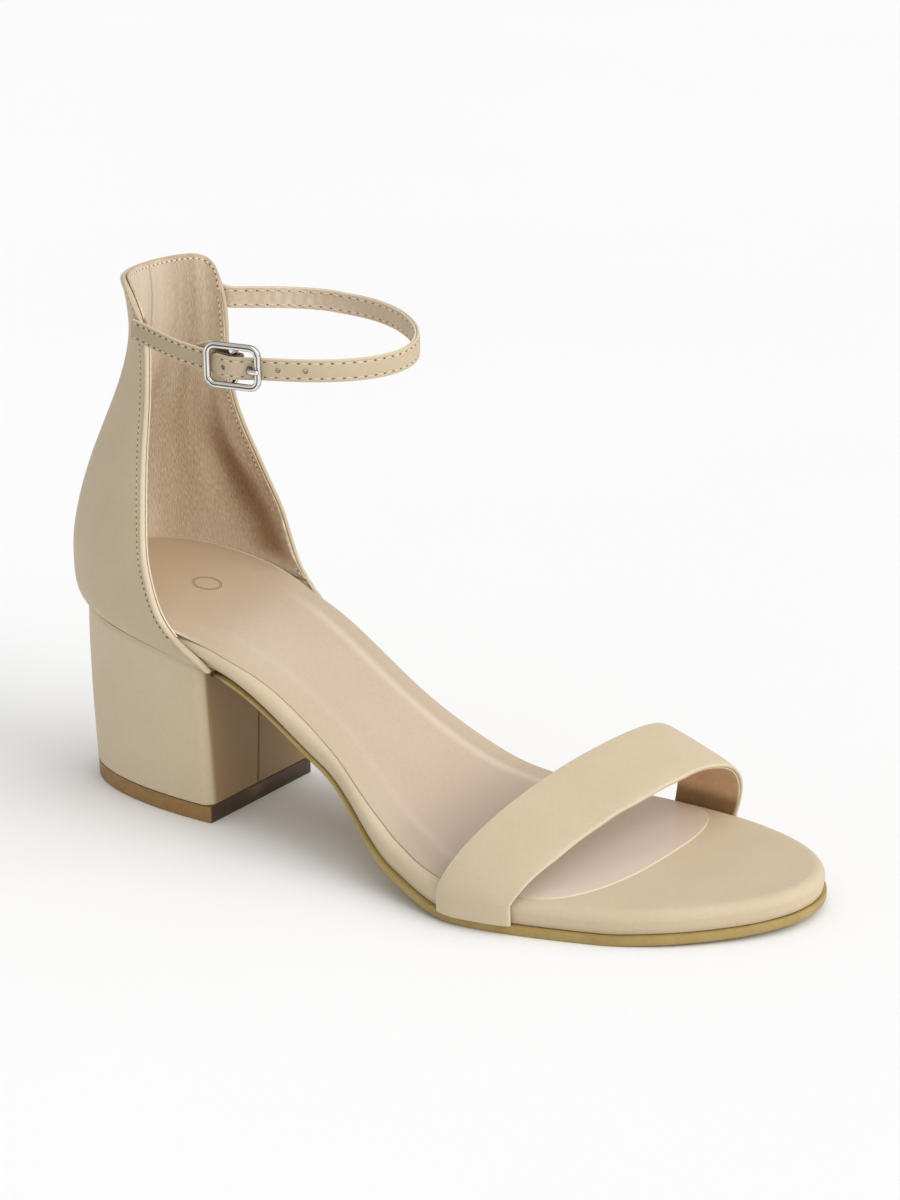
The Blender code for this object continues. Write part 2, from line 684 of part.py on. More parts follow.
def add_fastening(parts, cutters, cover, nickel):
    """The two ankle straps and the buckle that joins them."""
    route = StrapRoute()
    long_strap = add_object("ankle_strap_long", long_strap_mesh(route), parts, cover)
    short_strap = add_object("ankle_strap_short", short_strap_mesh(route), parts, cover)
    frame_wire = wire_mesh("buckle_frame", frame_points(), FRAME_WIRE, closed=True)
    prong_wire = wire_mesh("buckle_prong", prong_points(), PRONG_WIRE, sides=1)
    room_wire = wire_mesh("prong_room", prong_points(), PRONG_WIRE + 2 * GAP, sides=1)
    frame = add_object("buckle_frame", frame_wire, parts, nickel)
    prong = add_object("buckle_prong", prong_wire, parts, nickel)
    bar = add_cutter("centre_bar", wire_mesh("centre_bar", bar_points(), BAR_WIRE), cutters)
    room = add_cutter("prong_room", room_wire, cutters)
    slot = add_cutter("fold_slot", box_mesh("fold_slot", (SLOT_LONG, CUT_DEEP, SLOT_TALL)), cutters)
    for obj in (frame, bar, prong, room, slot):
        obj.matrix_world = route.stance(0.0)
    combine(frame, bar, "UNION")
    combine(long_strap, room, "DIFFERENCE")
    combine(short_strap, slot, "DIFFERENCE")

    prong_hole = (FRAME_LONG - FRAME_WIRE) / 2 - PRONG_HOLE_BACK
    for number in (*HOLES_BEHIND, *HOLES_AHEAD):
        name = f"punch_{number}"
        punch = add_cutter(name, cylinder_mesh(name, HOLE, CUT_DEEP), cutters)
        punch.matrix_world = route.stance(prong_hole + number * HOLE_PITCH)
        combine(long_strap, punch, "DIFFERENCE")


def clear_scene():
    """Remove what the scene holds."""
    for obj in list(bpy.data.objects):
        bpy.data.objects.remove(obj)


def new_collection(name):
    """Collection in the scene."""
    collection = bpy.data.collections.new(name)
    bpy.context.scene.collection.children.link(collection)
    return collection


def stand_on_origin(parts):
    """Parent the parts to an empty that puts the middle of their box over the origin."""
    bpy.context.view_layer.update()
    graph = bpy.context.evaluated_depsgraph_get()
    corners = []
    for obj in parts.objects:
        shape = obj.evaluated_get(graph)
        corners += [obj.matrix_world @ Vector(corner) for corner in shape.bound_box]
    low = [min(corner[axis] for corner in corners) for axis in range(2)]
    high = [max(corner[axis] for corner in corners) for axis in range(2)]
    root = bpy.data.objects.new("shoe_root", None)
    bpy.context.scene.collection.objects.link(root)
    root.location = (-(low[0] + high[0]) / 2, -(low[1] + high[1]) / 2, 0.0)
    for collection in bpy.data.collections:
        for obj in collection.objects:
            obj.parent = root


def main():
    """Build the shoe."""
    clear_scene()
    parts = new_collection(OBJECT_NAME)
    cutters = new_collection("cutters")
    cover = make_material("cover", COVER)
    nickel = make_material("nickel", NICKEL)
    add_object("footbed", footbed_mesh(), parts, cover)
    add_object("sock", sock_mesh(), parts, make_material("sock_face", SOCK_FACE))
    add_object("outsole", outsole_mesh(), parts, make_material("sole_rubber", SOLE_RUBBER))
    add_object("heel_block", heel_mesh(), parts, cover)
    add_object("top_lift", lift_mesh(), parts, make_material("lift_rubber", LIFT_RUBBER))
    thicken(add_object("heel_counter", counter_mesh(), parts, cover), WALL)
    thicken(add_object("toe_strap", toe_strap_mesh(), parts, cover), TOE_STRAP_THICK)
    add_fastening(parts, cutters, cover, nickel)
    stand_on_origin(parts)


main()
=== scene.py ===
"""Dressed block-heel sandal with an ankle strap, right foot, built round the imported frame.

X runs from the heel to the toe, Y to the inner side of the foot and Z up. Shapes are worked
out in millimetres on the last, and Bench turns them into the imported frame's metres.
"""

import logging
import math
from dataclasses import dataclass, field, replace
from enum import Enum
from typing import NamedTuple, Sequence

import bmesh
import bpy
import numpy as np
from mathutils import Matrix, Vector


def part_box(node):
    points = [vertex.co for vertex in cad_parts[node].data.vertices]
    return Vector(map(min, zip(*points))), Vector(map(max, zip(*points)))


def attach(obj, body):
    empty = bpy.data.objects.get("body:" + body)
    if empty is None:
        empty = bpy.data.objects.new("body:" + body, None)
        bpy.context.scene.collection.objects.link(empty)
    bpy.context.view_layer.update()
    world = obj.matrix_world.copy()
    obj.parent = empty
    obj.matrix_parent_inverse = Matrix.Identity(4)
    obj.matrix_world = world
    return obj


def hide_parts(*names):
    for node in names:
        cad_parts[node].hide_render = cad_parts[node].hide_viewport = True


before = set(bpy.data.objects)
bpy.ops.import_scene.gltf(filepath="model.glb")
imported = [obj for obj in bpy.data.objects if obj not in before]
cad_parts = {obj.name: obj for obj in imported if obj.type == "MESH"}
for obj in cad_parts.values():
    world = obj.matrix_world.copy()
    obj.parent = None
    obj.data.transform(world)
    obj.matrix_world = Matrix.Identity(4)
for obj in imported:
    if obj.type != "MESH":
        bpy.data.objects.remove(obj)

LOG = logging.getLogger("sandal")
MM = 0.001
BODY = "root"
WELD = 0.002  # points closer than this, in millimetres, are one point
SHARP_ANGLE = 38.0  # edges that turn further, in degrees, are shaded sharp
TINY = 1e-9
NAP = ("across", "upward")  # attributes that measure a lining along its own surface
FACING_DARK = (0.3, 0.8)  # how far a polished edge turns away before its painted dark reflection starts, and is full
PUNCH_DEEP = 12.0  # long enough to go through any strap
NUDGE = 0.01  # small step along a surface, to measure its slope

Points = np.ndarray
Pair = tuple[float, float]
Triple = tuple[float, float, float]
Colour = Triple
BMesh = bmesh.types.BMesh
Socket = bpy.types.NodeSocket


class Slot(Enum):
    """Material slots of the record."""

    COVER = "cover"
    SOCK = "sock_face"
    SOLE = "sole_rubber"
    LIFT = "lift_rubber"
    NICKEL = "nickel"


class Side(Enum):
    """Sides of the foot, as the sign of Y."""

    OUTER = -1
    INNER = 1


def smooth(places: Sequence[float], values: Sequence[float], at: Points) -> Points:
    """Read a smooth curve through a table's column, level wherever two rows are equal.

    Args:
        places: rising places of the rows.
        values: value at each place.
        at: places to read.

    Returns:
        The curve's values there.
    """
    places, values, at = (np.asarray(item, float) for item in (places, values, at))
    step = np.diff(places)
    slope = np.diff(values) / step
    tangent = np.concatenate([slope[:1], np.zeros(len(slope) - 1), slope[-1:]])
    for i in range(1, len(slope)):
        before, after = slope[i - 1], slope[i]
        if before * after > 0:
            lead = 2 * step[i] + step[i - 1]
            trail = step[i] + 2 * step[i - 1]
            tangent[i] = (lead + trail) / (lead / before + trail / after)
    i = np.clip(np.searchsorted(places, at) - 1, 0, len(step) - 1)
    t = (at - places[i]) / step[i]
    rise = values[i + 1] - values[i]
    start = step[i] * tangent[i]
    end = step[i] * tangent[i + 1]
    return values[i] + t * (start + t * (3 * rise - 2 * start - end + t * (start + end - 2 * rise)))


def column(table: Sequence[NamedTuple], name: str, at: Points, along: str = "x") -> Points:
    """Read one named column of a table at places along it.

    Args:
        table: rows with the columns along and name.
        name: column to read.
        at: places to read.
        along: column that holds the places.

    Returns:
        The column's values there.
    """
    return smooth([getattr(row, along) for row in table], [getattr(row, name) for row in table], at)


def spread(first: float, last: float, count: int, crowding: float = 0.6) -> Points:
    """Places that crowd together at both ends.

    Args:
        first: first place.
        last: last place.
        count: how many.
        crowding: 0 for even places, 1 for the most crowded ends.

    Returns:
        The places.
    """
    even = np.linspace(0, 1, count)
    crowded = (1 - np.cos(even * math.pi)) / 2
    return first + (last - first) * (even + (crowded - even) * crowding)


def bell(value: Points, middle: float, width: float) -> Points:
    """Soft bump of height 1 round a middle."""
    return np.exp(-(((value - middle) / width) ** 2))


def ease(value: Points, start: float, end: float) -> Points:
    """Soft step from 0 at start to 1 at end."""
    t = np.clip((np.asarray(value, float) - start) / (end - start), 0, 1)
    return t * t * (3 - 2 * t)


def unit(vectors: Points) -> Points:
    """Directions of vectors, each of length 1."""
    return vectors / np.maximum(np.linalg.norm(vectors, axis=-1, keepdims=True), TINY)


def inset(loop: Points, distance: Points | float) -> Points:
    """Move a closed plan outline inwards.

    Args:
        loop: points of the outline.
        distance: one distance, or one for each point.

    Returns:
        The moved outline, point for point.
    """
    keep = np.linalg.norm(loop - np.roll(loop, 1, axis=0), axis=1) > WELD
    points = loop[keep]
    tangent = np.roll(points, -1, axis=0) - np.roll(points, 1, axis=0)
    normal = unit(np.stack([tangent[:, 1], -tangent[:, 0]], axis=1))
    distance = np.broadcast_to(distance, len(loop))[keep]
    moved = points - normal * distance[:, None]
    return moved[(np.cumsum(keep) - 1) % len(moved)]


def outline(x: Points, half: Points, centre: Points | float) -> Points:
    """Closed plan outline, down the outer side and back up the inner side."""
    outer = np.stack([x, centre - half], axis=1)
    inner = np.stack([x, centre + half], axis=1)
    return np.vstack([outer, inner[::-1]])


def lifted(loop: Points, height: Points | float) -> Points:
    """Give a plan outline its heights."""
    return np.column_stack([loop, np.broadcast_to(height, len(loop))])


def drawn_in(loop: Points, centre: Points | float, share: float) -> Points:
    """Draw a plan outline towards its middle line, by a share of the way."""
    return np.stack([loop[:, 0], loop[:, 1] + (centre - loop[:, 1]) * share], axis=1)


def round_trip(loops: Sequence[Points]) -> Points:
    """Stack closed loops as rows, each with its first point again at its end."""
    rows = np.stack(loops)
    return np.concatenate([rows, rows[:, :1]], axis=1)


def capped(loops: list[Points], middles: Sequence[Points | float], steps: int) -> Points:
    """Close a stack of loops at both ends with rows drawn in to the middle line.

    Args:
        loops: loops with their heights.
        middles: the middle line of the first and of the last loop.
        steps: places from a loop to the middle line.

    Returns:
        The rows, from one middle line to the other.
    """
    first, last = ([lifted(drawn_in(loop[:, :2], middle, share), loop[:, 2])
                    for share in np.linspace(0, 1, steps)[1:]]
                   for loop, middle in zip((loops[0], loops[-1]), middles))
    return round_trip(first[::-1] + loops + last)


def run_length(points: Points, axis: int) -> Points:
    """Length along rows or columns of surface points, from the first one on."""
    step = np.linalg.norm(np.diff(points, axis=axis), axis=-1)
    start = np.zeros_like(np.take(step, [0], axis=axis))
    return np.concatenate([start, np.cumsum(step, axis=axis)], axis=axis)


def normals_of(points: Points) -> Points:
    """Unit normals of a surface whose rows run up or forward and whose columns run inwards."""
    return unit(np.cross(np.gradient(points, axis=0), np.gradient(points, axis=1)))


def edge_distance(points: Points, loop: Points) -> Points:
    """Plan distance from points to the nearest point of an outline."""
    gap = points[..., None, :2] - loop[:, :2]
    return np.linalg.norm(gap, axis=-1).min(axis=-1)


def draped_grid(points: Points, masks: dict[str, Points] | None = None, bm: BMesh | None = None) -> BMesh:
    """Lay a grid of quads on surface points.

    Args:
        points: rows and columns of points, in millimetres on the last.
        masks: values to keep on the points, by attribute name.
        bm: a bmesh to add the grid to.

    Returns:
        The bmesh, with doubles still in place.
    """
    rows, columns = points.shape[:2]
    if bm is None:
        bm = bmesh.new()
        bm.loops.layers.uv.new("UVMap")
    floats = bm.verts.layers.float
    layers = {name: floats.get(name) or floats.new(name) for name in masks or {}}
    grid = bmesh.ops.create_grid(bm, x_segments=columns - 1, y_segments=rows - 1, size=0.5, calc_uvs=True)
    for vert in grid["verts"]:
        i = round((vert.co.y + 0.5) * (rows - 1))
        j = round((vert.co.x + 0.5) * (columns - 1))
        vert.co = points[i, j]
        for name, layer in layers.items():
            vert[layer] = float(masks[name][i, j])
    return bm


def planar_sweep(path: Points, side: Points, radius: Points | float, sides: int) -> BMesh:
    """Round wire along an open path that lies in a plane, with its ends closed.

    Args:
        path: points of the middle line.
        side: unit normal of the plane.
        radius: one radius, or one for each point.
        sides: points round the wire.

    Returns:
        The wire.
    """
    lift = np.cross(unit(np.gradient(path, axis=0)), side)
    turn = np.linspace(0, 2 * math.pi, sides + 1)
    radius = np.broadcast_to(radius, len(path))[:, None, None]
    ring = lift[:, None] * np.cos(turn)[:, None] + np.asarray(side) * np.sin(turn)[:, None]
    bm = draped_grid(path[:, None] + ring * radius)
    close_ends(bm)
    return bm


def close_ends(bm: BMesh) -> None:
    """Weld a tube's seam and close its open ends."""
    bmesh.ops.remove_doubles(bm, verts=bm.verts, dist=WELD)
    open_edges = [edge for edge in bm.edges if edge.is_boundary]
    bmesh.ops.holes_fill(bm, edges=open_edges, sides=0)


def mesh_from(name: str, bm: BMesh) -> bpy.types.Mesh:
    """Turn a bmesh into a mesh and free it.

    Args:
        name: name of the mesh.
        bm: the bmesh.

    Returns:
        The mesh.
    """
    mesh = bpy.data.meshes.new(name)
    bm.to_mesh(mesh)
    bm.free()
    return mesh


def link(name: str, data: bpy.types.ID) -> bpy.types.Object:
    """Put a new object into the scene."""
    made = bpy.data.objects.new(name, data)
    bpy.context.scene.collection.objects.link(made)
    return made


def srgb(red: float, green: float, blue: float) -> Colour:
    """Linear colour of an 8-bit display colour.

    Args:
        red: 0 to 255.
        green: 0 to 255.
        blue: 0 to 255.

    Returns:
        Its linear channels.
    """
    def channel(value: float) -> float:
        """Linear value of one channel."""
        share = value / 255
        return share / 12.92 if share <= 0.04045 else ((share + 0.055) / 1.055) ** 2.4

    return channel(red), channel(green), channel(blue)


class Nodes:
    """Short way to add and link nodes in one tree."""

    def __init__(self, tree: bpy.types.NodeTree) -> None:
        """Keep the tree that the nodes go into."""
        self.tree = tree

    def add(self, kind: str, links: dict[str, object] | None = None, **settings: object) -> bpy.types.Node:
        """Add a node.

        Args:
            kind: node type.
            links: input name to the socket or value that it takes.
            settings: node properties.

        Returns:
            The node.
        """
        node = self.tree.nodes.new(kind)
        for name, value in settings.items():
            setattr(node, name, value)
        for name, value in (links or {}).items():
            self.feed(node.inputs[name], value)
        return node

    def feed(self, socket: Socket, value: object) -> None:
        """Link an output to a socket, or set the socket's own value.

        Args:
            socket: an input.
            value: an output, or a plain value.
        """
        if isinstance(value, Socket):
            self.tree.links.new(value, socket)
        else:
            socket.default_value = value

    def sum_of(self, first: object, second: object, weight: object) -> Socket:
        """First plus second times a weight.

        Args:
            first: value or output.
            second: value or output.
            weight: value or output.

        Returns:
            The sum.
        """
        node = self.add("ShaderNodeMath", operation="MULTIPLY_ADD")
        for socket, value in zip(node.inputs, (second, weight, first)):
            self.feed(socket, value)
        return node.outputs[0]

    def blend(self, share: object, first: object, second: object, way: str = "MIX") -> Socket:
        """Mix two colours by a share.

        Args:
            share: how much of the second colour.
            first: first colour.
            second: second colour.
            way: blend type.

        Returns:
            The mixed colour.
        """
        node = self.add("ShaderNodeMix", data_type="RGBA", blend_type=way)
        self.feed(node.inputs["Factor"], share)
        self.feed(node.inputs[6], first)
        self.feed(node.inputs[7], second)
        return node.outputs[2]

    def noise(self, vector: object, scale: object, detail: float) -> Socket:
        """Noise value at a vector."""
        links = {"Vector": vector, "Scale": scale, "Detail": detail}
        return self.add("ShaderNodeTexNoise", links).outputs["Fac"]

    def ranged(self, value: object, low: float, high: float, start: float = 0.0,
               end: float = 1.0) -> Socket:
        """Map a value's range from low..high to start..end."""
        links = {"Value": value, "From Min": low, "From Max": high, "To Min": start, "To Max": end}
        return self.add("ShaderNodeMapRange", links).outputs["Result"]

    def attribute(self, name: str) -> Socket:
        """Value of an attribute of the mesh."""
        return self.add("ShaderNodeAttribute", attribute_name=name).outputs["Fac"]


class Effects:
    """Node groups that several finishes share, built once."""

    GRAIN = "hide_grain"
    MOTTLE = "soft_mottle"
    NAP_SCALE = 2.6  # the nap is this much finer than the pebbles
    NAP_DETAIL = 1.0
    PEBBLE_SHARE = 0.8
    BROAD_DETAIL = 3.0
    FINE_DETAIL = 2.0
    FINE_MIDDLE = 0.5
    TONE_RANGE = (0.2, 0.8)

    def __init__(self) -> None:
        """Build both groups."""
        self.grain = self.build_grain()
        self.mottle = self.build_mottle()

    @staticmethod
    def group(name: str, inputs: dict[str, str], outputs: dict[str, str]) -> bpy.types.NodeTree:
        """Start a group with named sockets.

        Args:
            name: name of the group.
            inputs: input name to socket type.
            outputs: output name to socket type.

        Returns:
            The group with its input and output nodes.
        """
        tree = bpy.data.node_groups.new(name, "ShaderNodeTree")
        for way, sockets in (("INPUT", inputs), ("OUTPUT", outputs)):
            for label, kind in sockets.items():
                tree.interface.new_socket(label, in_out=way, socket_type=kind)
        tree.nodes.new("NodeGroupInput")
        tree.nodes.new("NodeGroupOutput")
        return tree

    def build_grain(self) -> bpy.types.NodeTree:
        """Pebbled grain with a fine nap on it, as a height.

        Returns:
            The group.
        """
        tree = self.group(self.GRAIN, {"Vector": "NodeSocketVector", "Scale": "NodeSocketFloat"},
                          {"Height": "NodeSocketFloat"})
        nodes = Nodes(tree)
        given = tree.nodes["Group Input"].outputs
        cells = nodes.add("ShaderNodeTexVoronoi", {"Vector": given["Vector"], "Scale": given["Scale"]})
        finer = nodes.add("ShaderNodeMath", operation="MULTIPLY")
        nodes.feed(finer.inputs[0], given["Scale"])
        finer.inputs[1].default_value = self.NAP_SCALE
        nap = nodes.noise(given["Vector"], finer.outputs[0], self.NAP_DETAIL)
        height = nodes.sum_of(nap, cells.outputs["Distance"], self.PEBBLE_SHARE)
        nodes.feed(tree.nodes["Group Output"].inputs["Height"], height)
        return tree

    def build_mottle(self) -> bpy.types.NodeTree:
        """Slow change between two tones, with a little fine change in it.

        Returns:
            The group.
        """
        tree = self.group(
            self.MOTTLE,
            {"Vector": "NodeSocketVector", "Scale": "NodeSocketFloat", "Fine": "NodeSocketFloat",
             "Speckle": "NodeSocketFloat", "Light": "NodeSocketColor", "Dark": "NodeSocketColor"},
            {"Color": "NodeSocketColor", "Mask": "NodeSocketFloat"})
        nodes = Nodes(tree)
        given = tree.nodes["Group Input"].outputs
        broad = nodes.noise(given["Vector"], given["Scale"], self.BROAD_DETAIL)
        fine = nodes.noise(given["Vector"], given["Fine"], self.FINE_DETAIL)
        mixed = nodes.sum_of(broad, nodes.sum_of(fine, -self.FINE_MIDDLE, 1.0), given["Speckle"])
        mask = nodes.ranged(mixed, *self.TONE_RANGE)
        put_out = tree.nodes["Group Output"].inputs
        nodes.feed(put_out["Color"], nodes.blend(mask, given["Dark"], given["Light"]))
        nodes.feed(put_out["Mask"], mask)
        return tree


@dataclass(frozen=True)
class Finish:
    """One finish: two tones that mottle, a grain and the shader's own values.

    A stretch above 1 draws the pattern out along an axis. accents maps an attribute of the
    mesh to the colour that it brings in, and tints to a colour that it multiplies by. A polished
    finish darkens to its edge colour where the surface turns away: a painted dark reflection. A
    nap follows the surface.
    """

    name: str
    light: Colour
    dark: Colour
    roughness: Pair
    mottle: float = 45.0
    fine: float = 900.0
    speckle: float = 0.6
    grain: float = 2600.0
    depth: float = 0.04
    stretch: Triple = (1.0, 1.0, 1.0)
    sheen: float = 0.0
    specular: float = 0.5
    metallic: float = 0.0
    # colour of the painted dark reflection where a polished surface turns away
    edge: Colour | None = None
    nap: bool = False
    accents: tuple[tuple[str, Colour], ...] = ()
    tints: tuple[tuple[str, Colour], ...] = ()

    def material(self, effects: Effects) -> bpy.types.Material:
        """Build the material.

        Args:
            effects: the shared node groups.

        Returns:
            The material.
        """
        material = bpy.data.materials.new(self.name)
        material.use_nodes = True
        tree = material.node_tree
        nodes = Nodes(tree)
        shader = tree.nodes["Principled BSDF"]
        if self.nap:
            across, upward = (nodes.attribute(name) for name in NAP)
            place = nodes.add("ShaderNodeCombineXYZ", {"X": across, "Z": upward}).outputs["Vector"]
        else:
            place = nodes.add("ShaderNodeTexCoord").outputs["Object"]
        squeeze = tuple(1 / value for value in self.stretch)
        drawn = nodes.add("ShaderNodeMapping", {"Vector": place, "Scale": squeeze}).outputs["Vector"]
        mottle = nodes.add("ShaderNodeGroup", node_tree=effects.mottle)
        for label, value in {"Vector": drawn, "Scale": self.mottle, "Fine": self.fine,
                             "Speckle": self.speckle, "Light": (*self.light, 1.0),
                             "Dark": (*self.dark, 1.0)}.items():
            nodes.feed(mottle.inputs[label], value)
        colour = mottle.outputs["Color"]
        for way, pairs in (("MIX", self.accents), ("MULTIPLY", self.tints)):
            for attribute, tone in pairs:
                colour = nodes.blend(nodes.attribute(attribute), colour, (*tone, 1.0), way)
        # Painted dark reflection: a polished finish darkens to its edge colour as its surface turns from
        # the view.
        if self.edge:
            facing = nodes.add("ShaderNodeLayerWeight").outputs["Facing"]
            colour = nodes.blend(nodes.ranged(facing, *FACING_DARK), colour, (*self.edge, 1.0))
        nodes.feed(shader.inputs["Base Color"], colour)
        gloss = nodes.ranged(mottle.outputs["Mask"], 0.0, 1.0, *self.roughness)
        nodes.feed(shader.inputs["Roughness"], gloss)
        if self.depth > 0:
            grain = nodes.add("ShaderNodeGroup", node_tree=effects.grain)
            nodes.feed(grain.inputs["Vector"], drawn)
            nodes.feed(grain.inputs["Scale"], self.grain)
            relief = {"Height": grain.outputs["Height"], "Distance": self.depth * MM}
            nodes.feed(shader.inputs["Normal"], nodes.add("ShaderNodeBump", relief).outputs["Normal"])
        for label, value in {"Metallic": self.metallic, "Sheen Weight": self.sheen,
                             "Specular IOR Level": self.specular}.items():
            shader.inputs[label].default_value = value
        return material


CREAM = srgb(232, 219, 192)

# Cover hide. Its pale edge accent is the pale cut edge of the straps and a painted highlight on the counter
# rim's outer side; breast is painted shade on the heel breast; its dark tint is the breast seam and painted
# shade in the rim's crevice and the short strap's fold.
COVER = Finish("cover_hide", srgb(211, 194, 165), srgb(205, 186, 155), (0.62, 0.54), sheen=0.08,
               specular=0.35,
               accents=(("worn", srgb(219, 202, 175)), ("breast", srgb(160, 131, 96))),
               tints=(("groove", srgb(116, 92, 68)),))
# Darker copies of the cover hide, painted shade: on the short strap, and on the counter and the ankle
# strap.
SHADED_SHORT_STRAP = replace(COVER, name="short_strap_hide", light=srgb(185, 167, 137), dark=srgb(177, 158, 128))
SHADED_UPPER = replace(COVER, name="upper_hide", light=srgb(201, 183, 154), dark=srgb(194, 175, 145))
# Suede lining. Its pale accent is a paler outer panel and tab, and painted light on the lower levels; shade
# is painted shade by the fold; pit is the dark back seam.
LINING = Finish("suede_lining", srgb(223, 204, 178), srgb(170, 146, 118), (0.9, 0.8), mottle=90.0,
                fine=2900.0, speckle=1.15, depth=0.09, stretch=(1.0, 1.0, 5.0), sheen=0.25, specular=0.2,
                nap=True,
                accents=(("pale", srgb(218, 200, 178)), ("cream", CREAM)),
                tints=(("shade", srgb(188, 163, 138)), ("pit", srgb(140, 114, 90))))
STRAP_LINING = Finish("strap_lining", srgb(220, 202, 179), srgb(202, 181, 155), (0.85, 0.75), mottle=120.0,
                      speckle=0.8, depth=0.07, sheen=0.2, specular=0.25, accents=(("worn", CREAM),))
TOE_LINING = replace(STRAP_LINING, name="toe_strap_lining", light=srgb(228, 193, 158),
                     dark=srgb(212, 176, 139), tints=(("shade", srgb(176, 166, 142)),))
# Sock face. Painted shadow of the toe strap behind it, painted highlight along the padding's ridge, painted
# shade in the heel seat, painted light at the toe under the strap and painted shade along the foot of its
# edge; brim is a darker strip outside the ridge, and the pale rim its cut edge.
SOCK = Finish("sock_face", srgb(203, 183, 161), srgb(193, 170, 146), (0.4, 0.32), mottle=22.0, grain=3200.0,
              depth=0.015,
              accents=(("tread", srgb(180, 160, 144)), ("brim", srgb(193, 174, 147)),
                       ("ridge", srgb(222, 205, 188)), ("seat", srgb(190, 167, 138)),
                       ("toe", srgb(230, 217, 203)), ("rim_dark", srgb(112, 84, 58)), ("rim_pale", CREAM)))
# Outsole rubber, darker at its back end by the heel breast: painted shade.
SOLE = Finish("sole_rubber", srgb(176, 152, 92), srgb(160, 134, 76), (0.55, 0.45), mottle=160.0, depth=0.03,
              tints=(("notch", srgb(120, 96, 66)),))
# Lift rubber, with painted shade on its breast and a paler patch in that shade left of its middle.
LIFT = Finish("lift_rubber", srgb(160, 122, 64), srgb(138, 102, 50), (0.5, 0.38), mottle=220.0, depth=0.04,
              accents=(("breast", srgb(68, 49, 28)), ("scuff", srgb(160, 130, 88))))
THREAD = Finish("thread", srgb(226, 212, 186), srgb(206, 190, 162), (0.7, 0.6), grain=6000.0, depth=0.05)
PALE_THREAD = replace(THREAD, name="pale_thread", light=srgb(238, 226, 205), dark=srgb(224, 209, 184))
# Dark beads between the stitches: painted shade in the needle holes.
NEEDLE_HOLE_SHADE = Finish("needle_hole", srgb(122, 102, 78), srgb(100, 82, 60), (0.9, 0.8))
PRINT = Finish("ring_print", srgb(132, 98, 68), srgb(114, 82, 56), (0.4, 0.3))
# Polished nickel, with a painted dark reflection where it turns away and painted shade in the frame's
# groove.
NICKEL = Finish("nickel", srgb(240, 238, 233), srgb(226, 223, 217), (0.05, 0.1), mottle=300.0, grain=1200.0,
                depth=0.002, metallic=1.0, edge=srgb(52, 49, 46), tints=(("groove", srgb(84, 78, 72)),))
FLOOR = Finish("floor", srgb(250, 250, 250), srgb(247, 247, 247), (0.9, 0.85), mottle=3.0, depth=0.0)


class Bench:
    """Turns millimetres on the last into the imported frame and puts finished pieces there."""

    def __init__(self, last_back: float, heel_side: float) -> None:
        """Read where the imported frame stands.

        Args:
            last_back: the footbed's back end on the last.
            heel_side: the heel's middle line on the last.
        """
        low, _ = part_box("footbed")
        heel_low, heel_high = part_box("heel_block")
        middle = (heel_low[1] + heel_high[1]) / 2
        self.shift = Vector((low[0] / MM - last_back, middle / MM - heel_side, 0.0))
        self.effects = Effects()
        self.materials: dict[str, bpy.types.Material] = {}

    def place(self, point: Points) -> Vector:
        """Packed place of a point on the last."""
        return (Vector(point) + self.shift) * MM

    def packed(self, name: str, bm: BMesh) -> bpy.types.Mesh:
        """Mesh of a bmesh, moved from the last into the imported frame; the bmesh is freed.

        Args:
            name: name of the mesh.
            bm: a bmesh in millimetres on the last.

        Returns:
            The mesh.
        """
        bmesh.ops.recalc_face_normals(bm, faces=bm.faces)
        bmesh.ops.translate(bm, verts=bm.verts, vec=self.shift)
        bmesh.ops.scale(bm, verts=bm.verts, vec=(MM, MM, MM))
        return mesh_from(name, bm)

    def material(self, finish: Finish) -> bpy.types.Material:
        """Material of a finish, built on its first use."""
        if finish.name not in self.materials:
            self.materials[finish.name] = finish.material(self.effects)
        return self.materials[finish.name]

    def add(self, name: str, bm: BMesh, finishes: Sequence[Finish], slot: Slot,
            replaced: Sequence[str] = ()) -> bpy.types.Object:
        """Finish a bmesh as a piece on the frame.

        Args:
            name: name of the piece.
            bm: its mesh, in millimetres on the last; it is freed.
            finishes: its materials in order.
            slot: the record's material slot; not used.
            replaced: CAD nodes that it stands for.

        Returns:
            The piece.
        """
        bmesh.ops.remove_doubles(bm, verts=bm.verts, dist=WELD)
        mesh = self.packed(name, bm)
        mesh.shade_smooth()
        mesh.set_sharp_from_angle(angle=math.radians(SHARP_ANGLE))
        for finish in finishes:
            mesh.materials.append(self.material(finish))
        piece = link(name, mesh)
        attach(piece, BODY)
        if replaced:
            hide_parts(*replaced)
        LOG.info("%s: %d faces", name, len(mesh.polygons))
        return piece

    @staticmethod
    def punch(piece: bpy.types.Object, cutter: bpy.types.Object) -> None:
        """Cut a helper out of a piece, keep the result and remove the helper.

        Args:
            piece: the piece.
            cutter: the helper.
        """
        cut = piece.modifiers.new("punch", "BOOLEAN")
        cut.operation = "DIFFERENCE"
        cut.object = cutter
        graph = bpy.context.evaluated_depsgraph_get()
        mesh = bpy.data.meshes.new_from_object(piece.evaluated_get(graph))
        mesh.set_sharp_from_angle(angle=math.radians(SHARP_ANGLE))
        piece.modifiers.clear()
        whole, piece.data = piece.data, mesh
        bpy.data.meshes.remove(whole)
        bpy.data.meshes.remove(cutter.data)

    def cutter(self, bm: BMesh) -> bpy.types.Object:
        """Helper object that only cuts, from a bmesh in millimetres on the last."""
        return link("cutter", self.packed("cutter", bm))


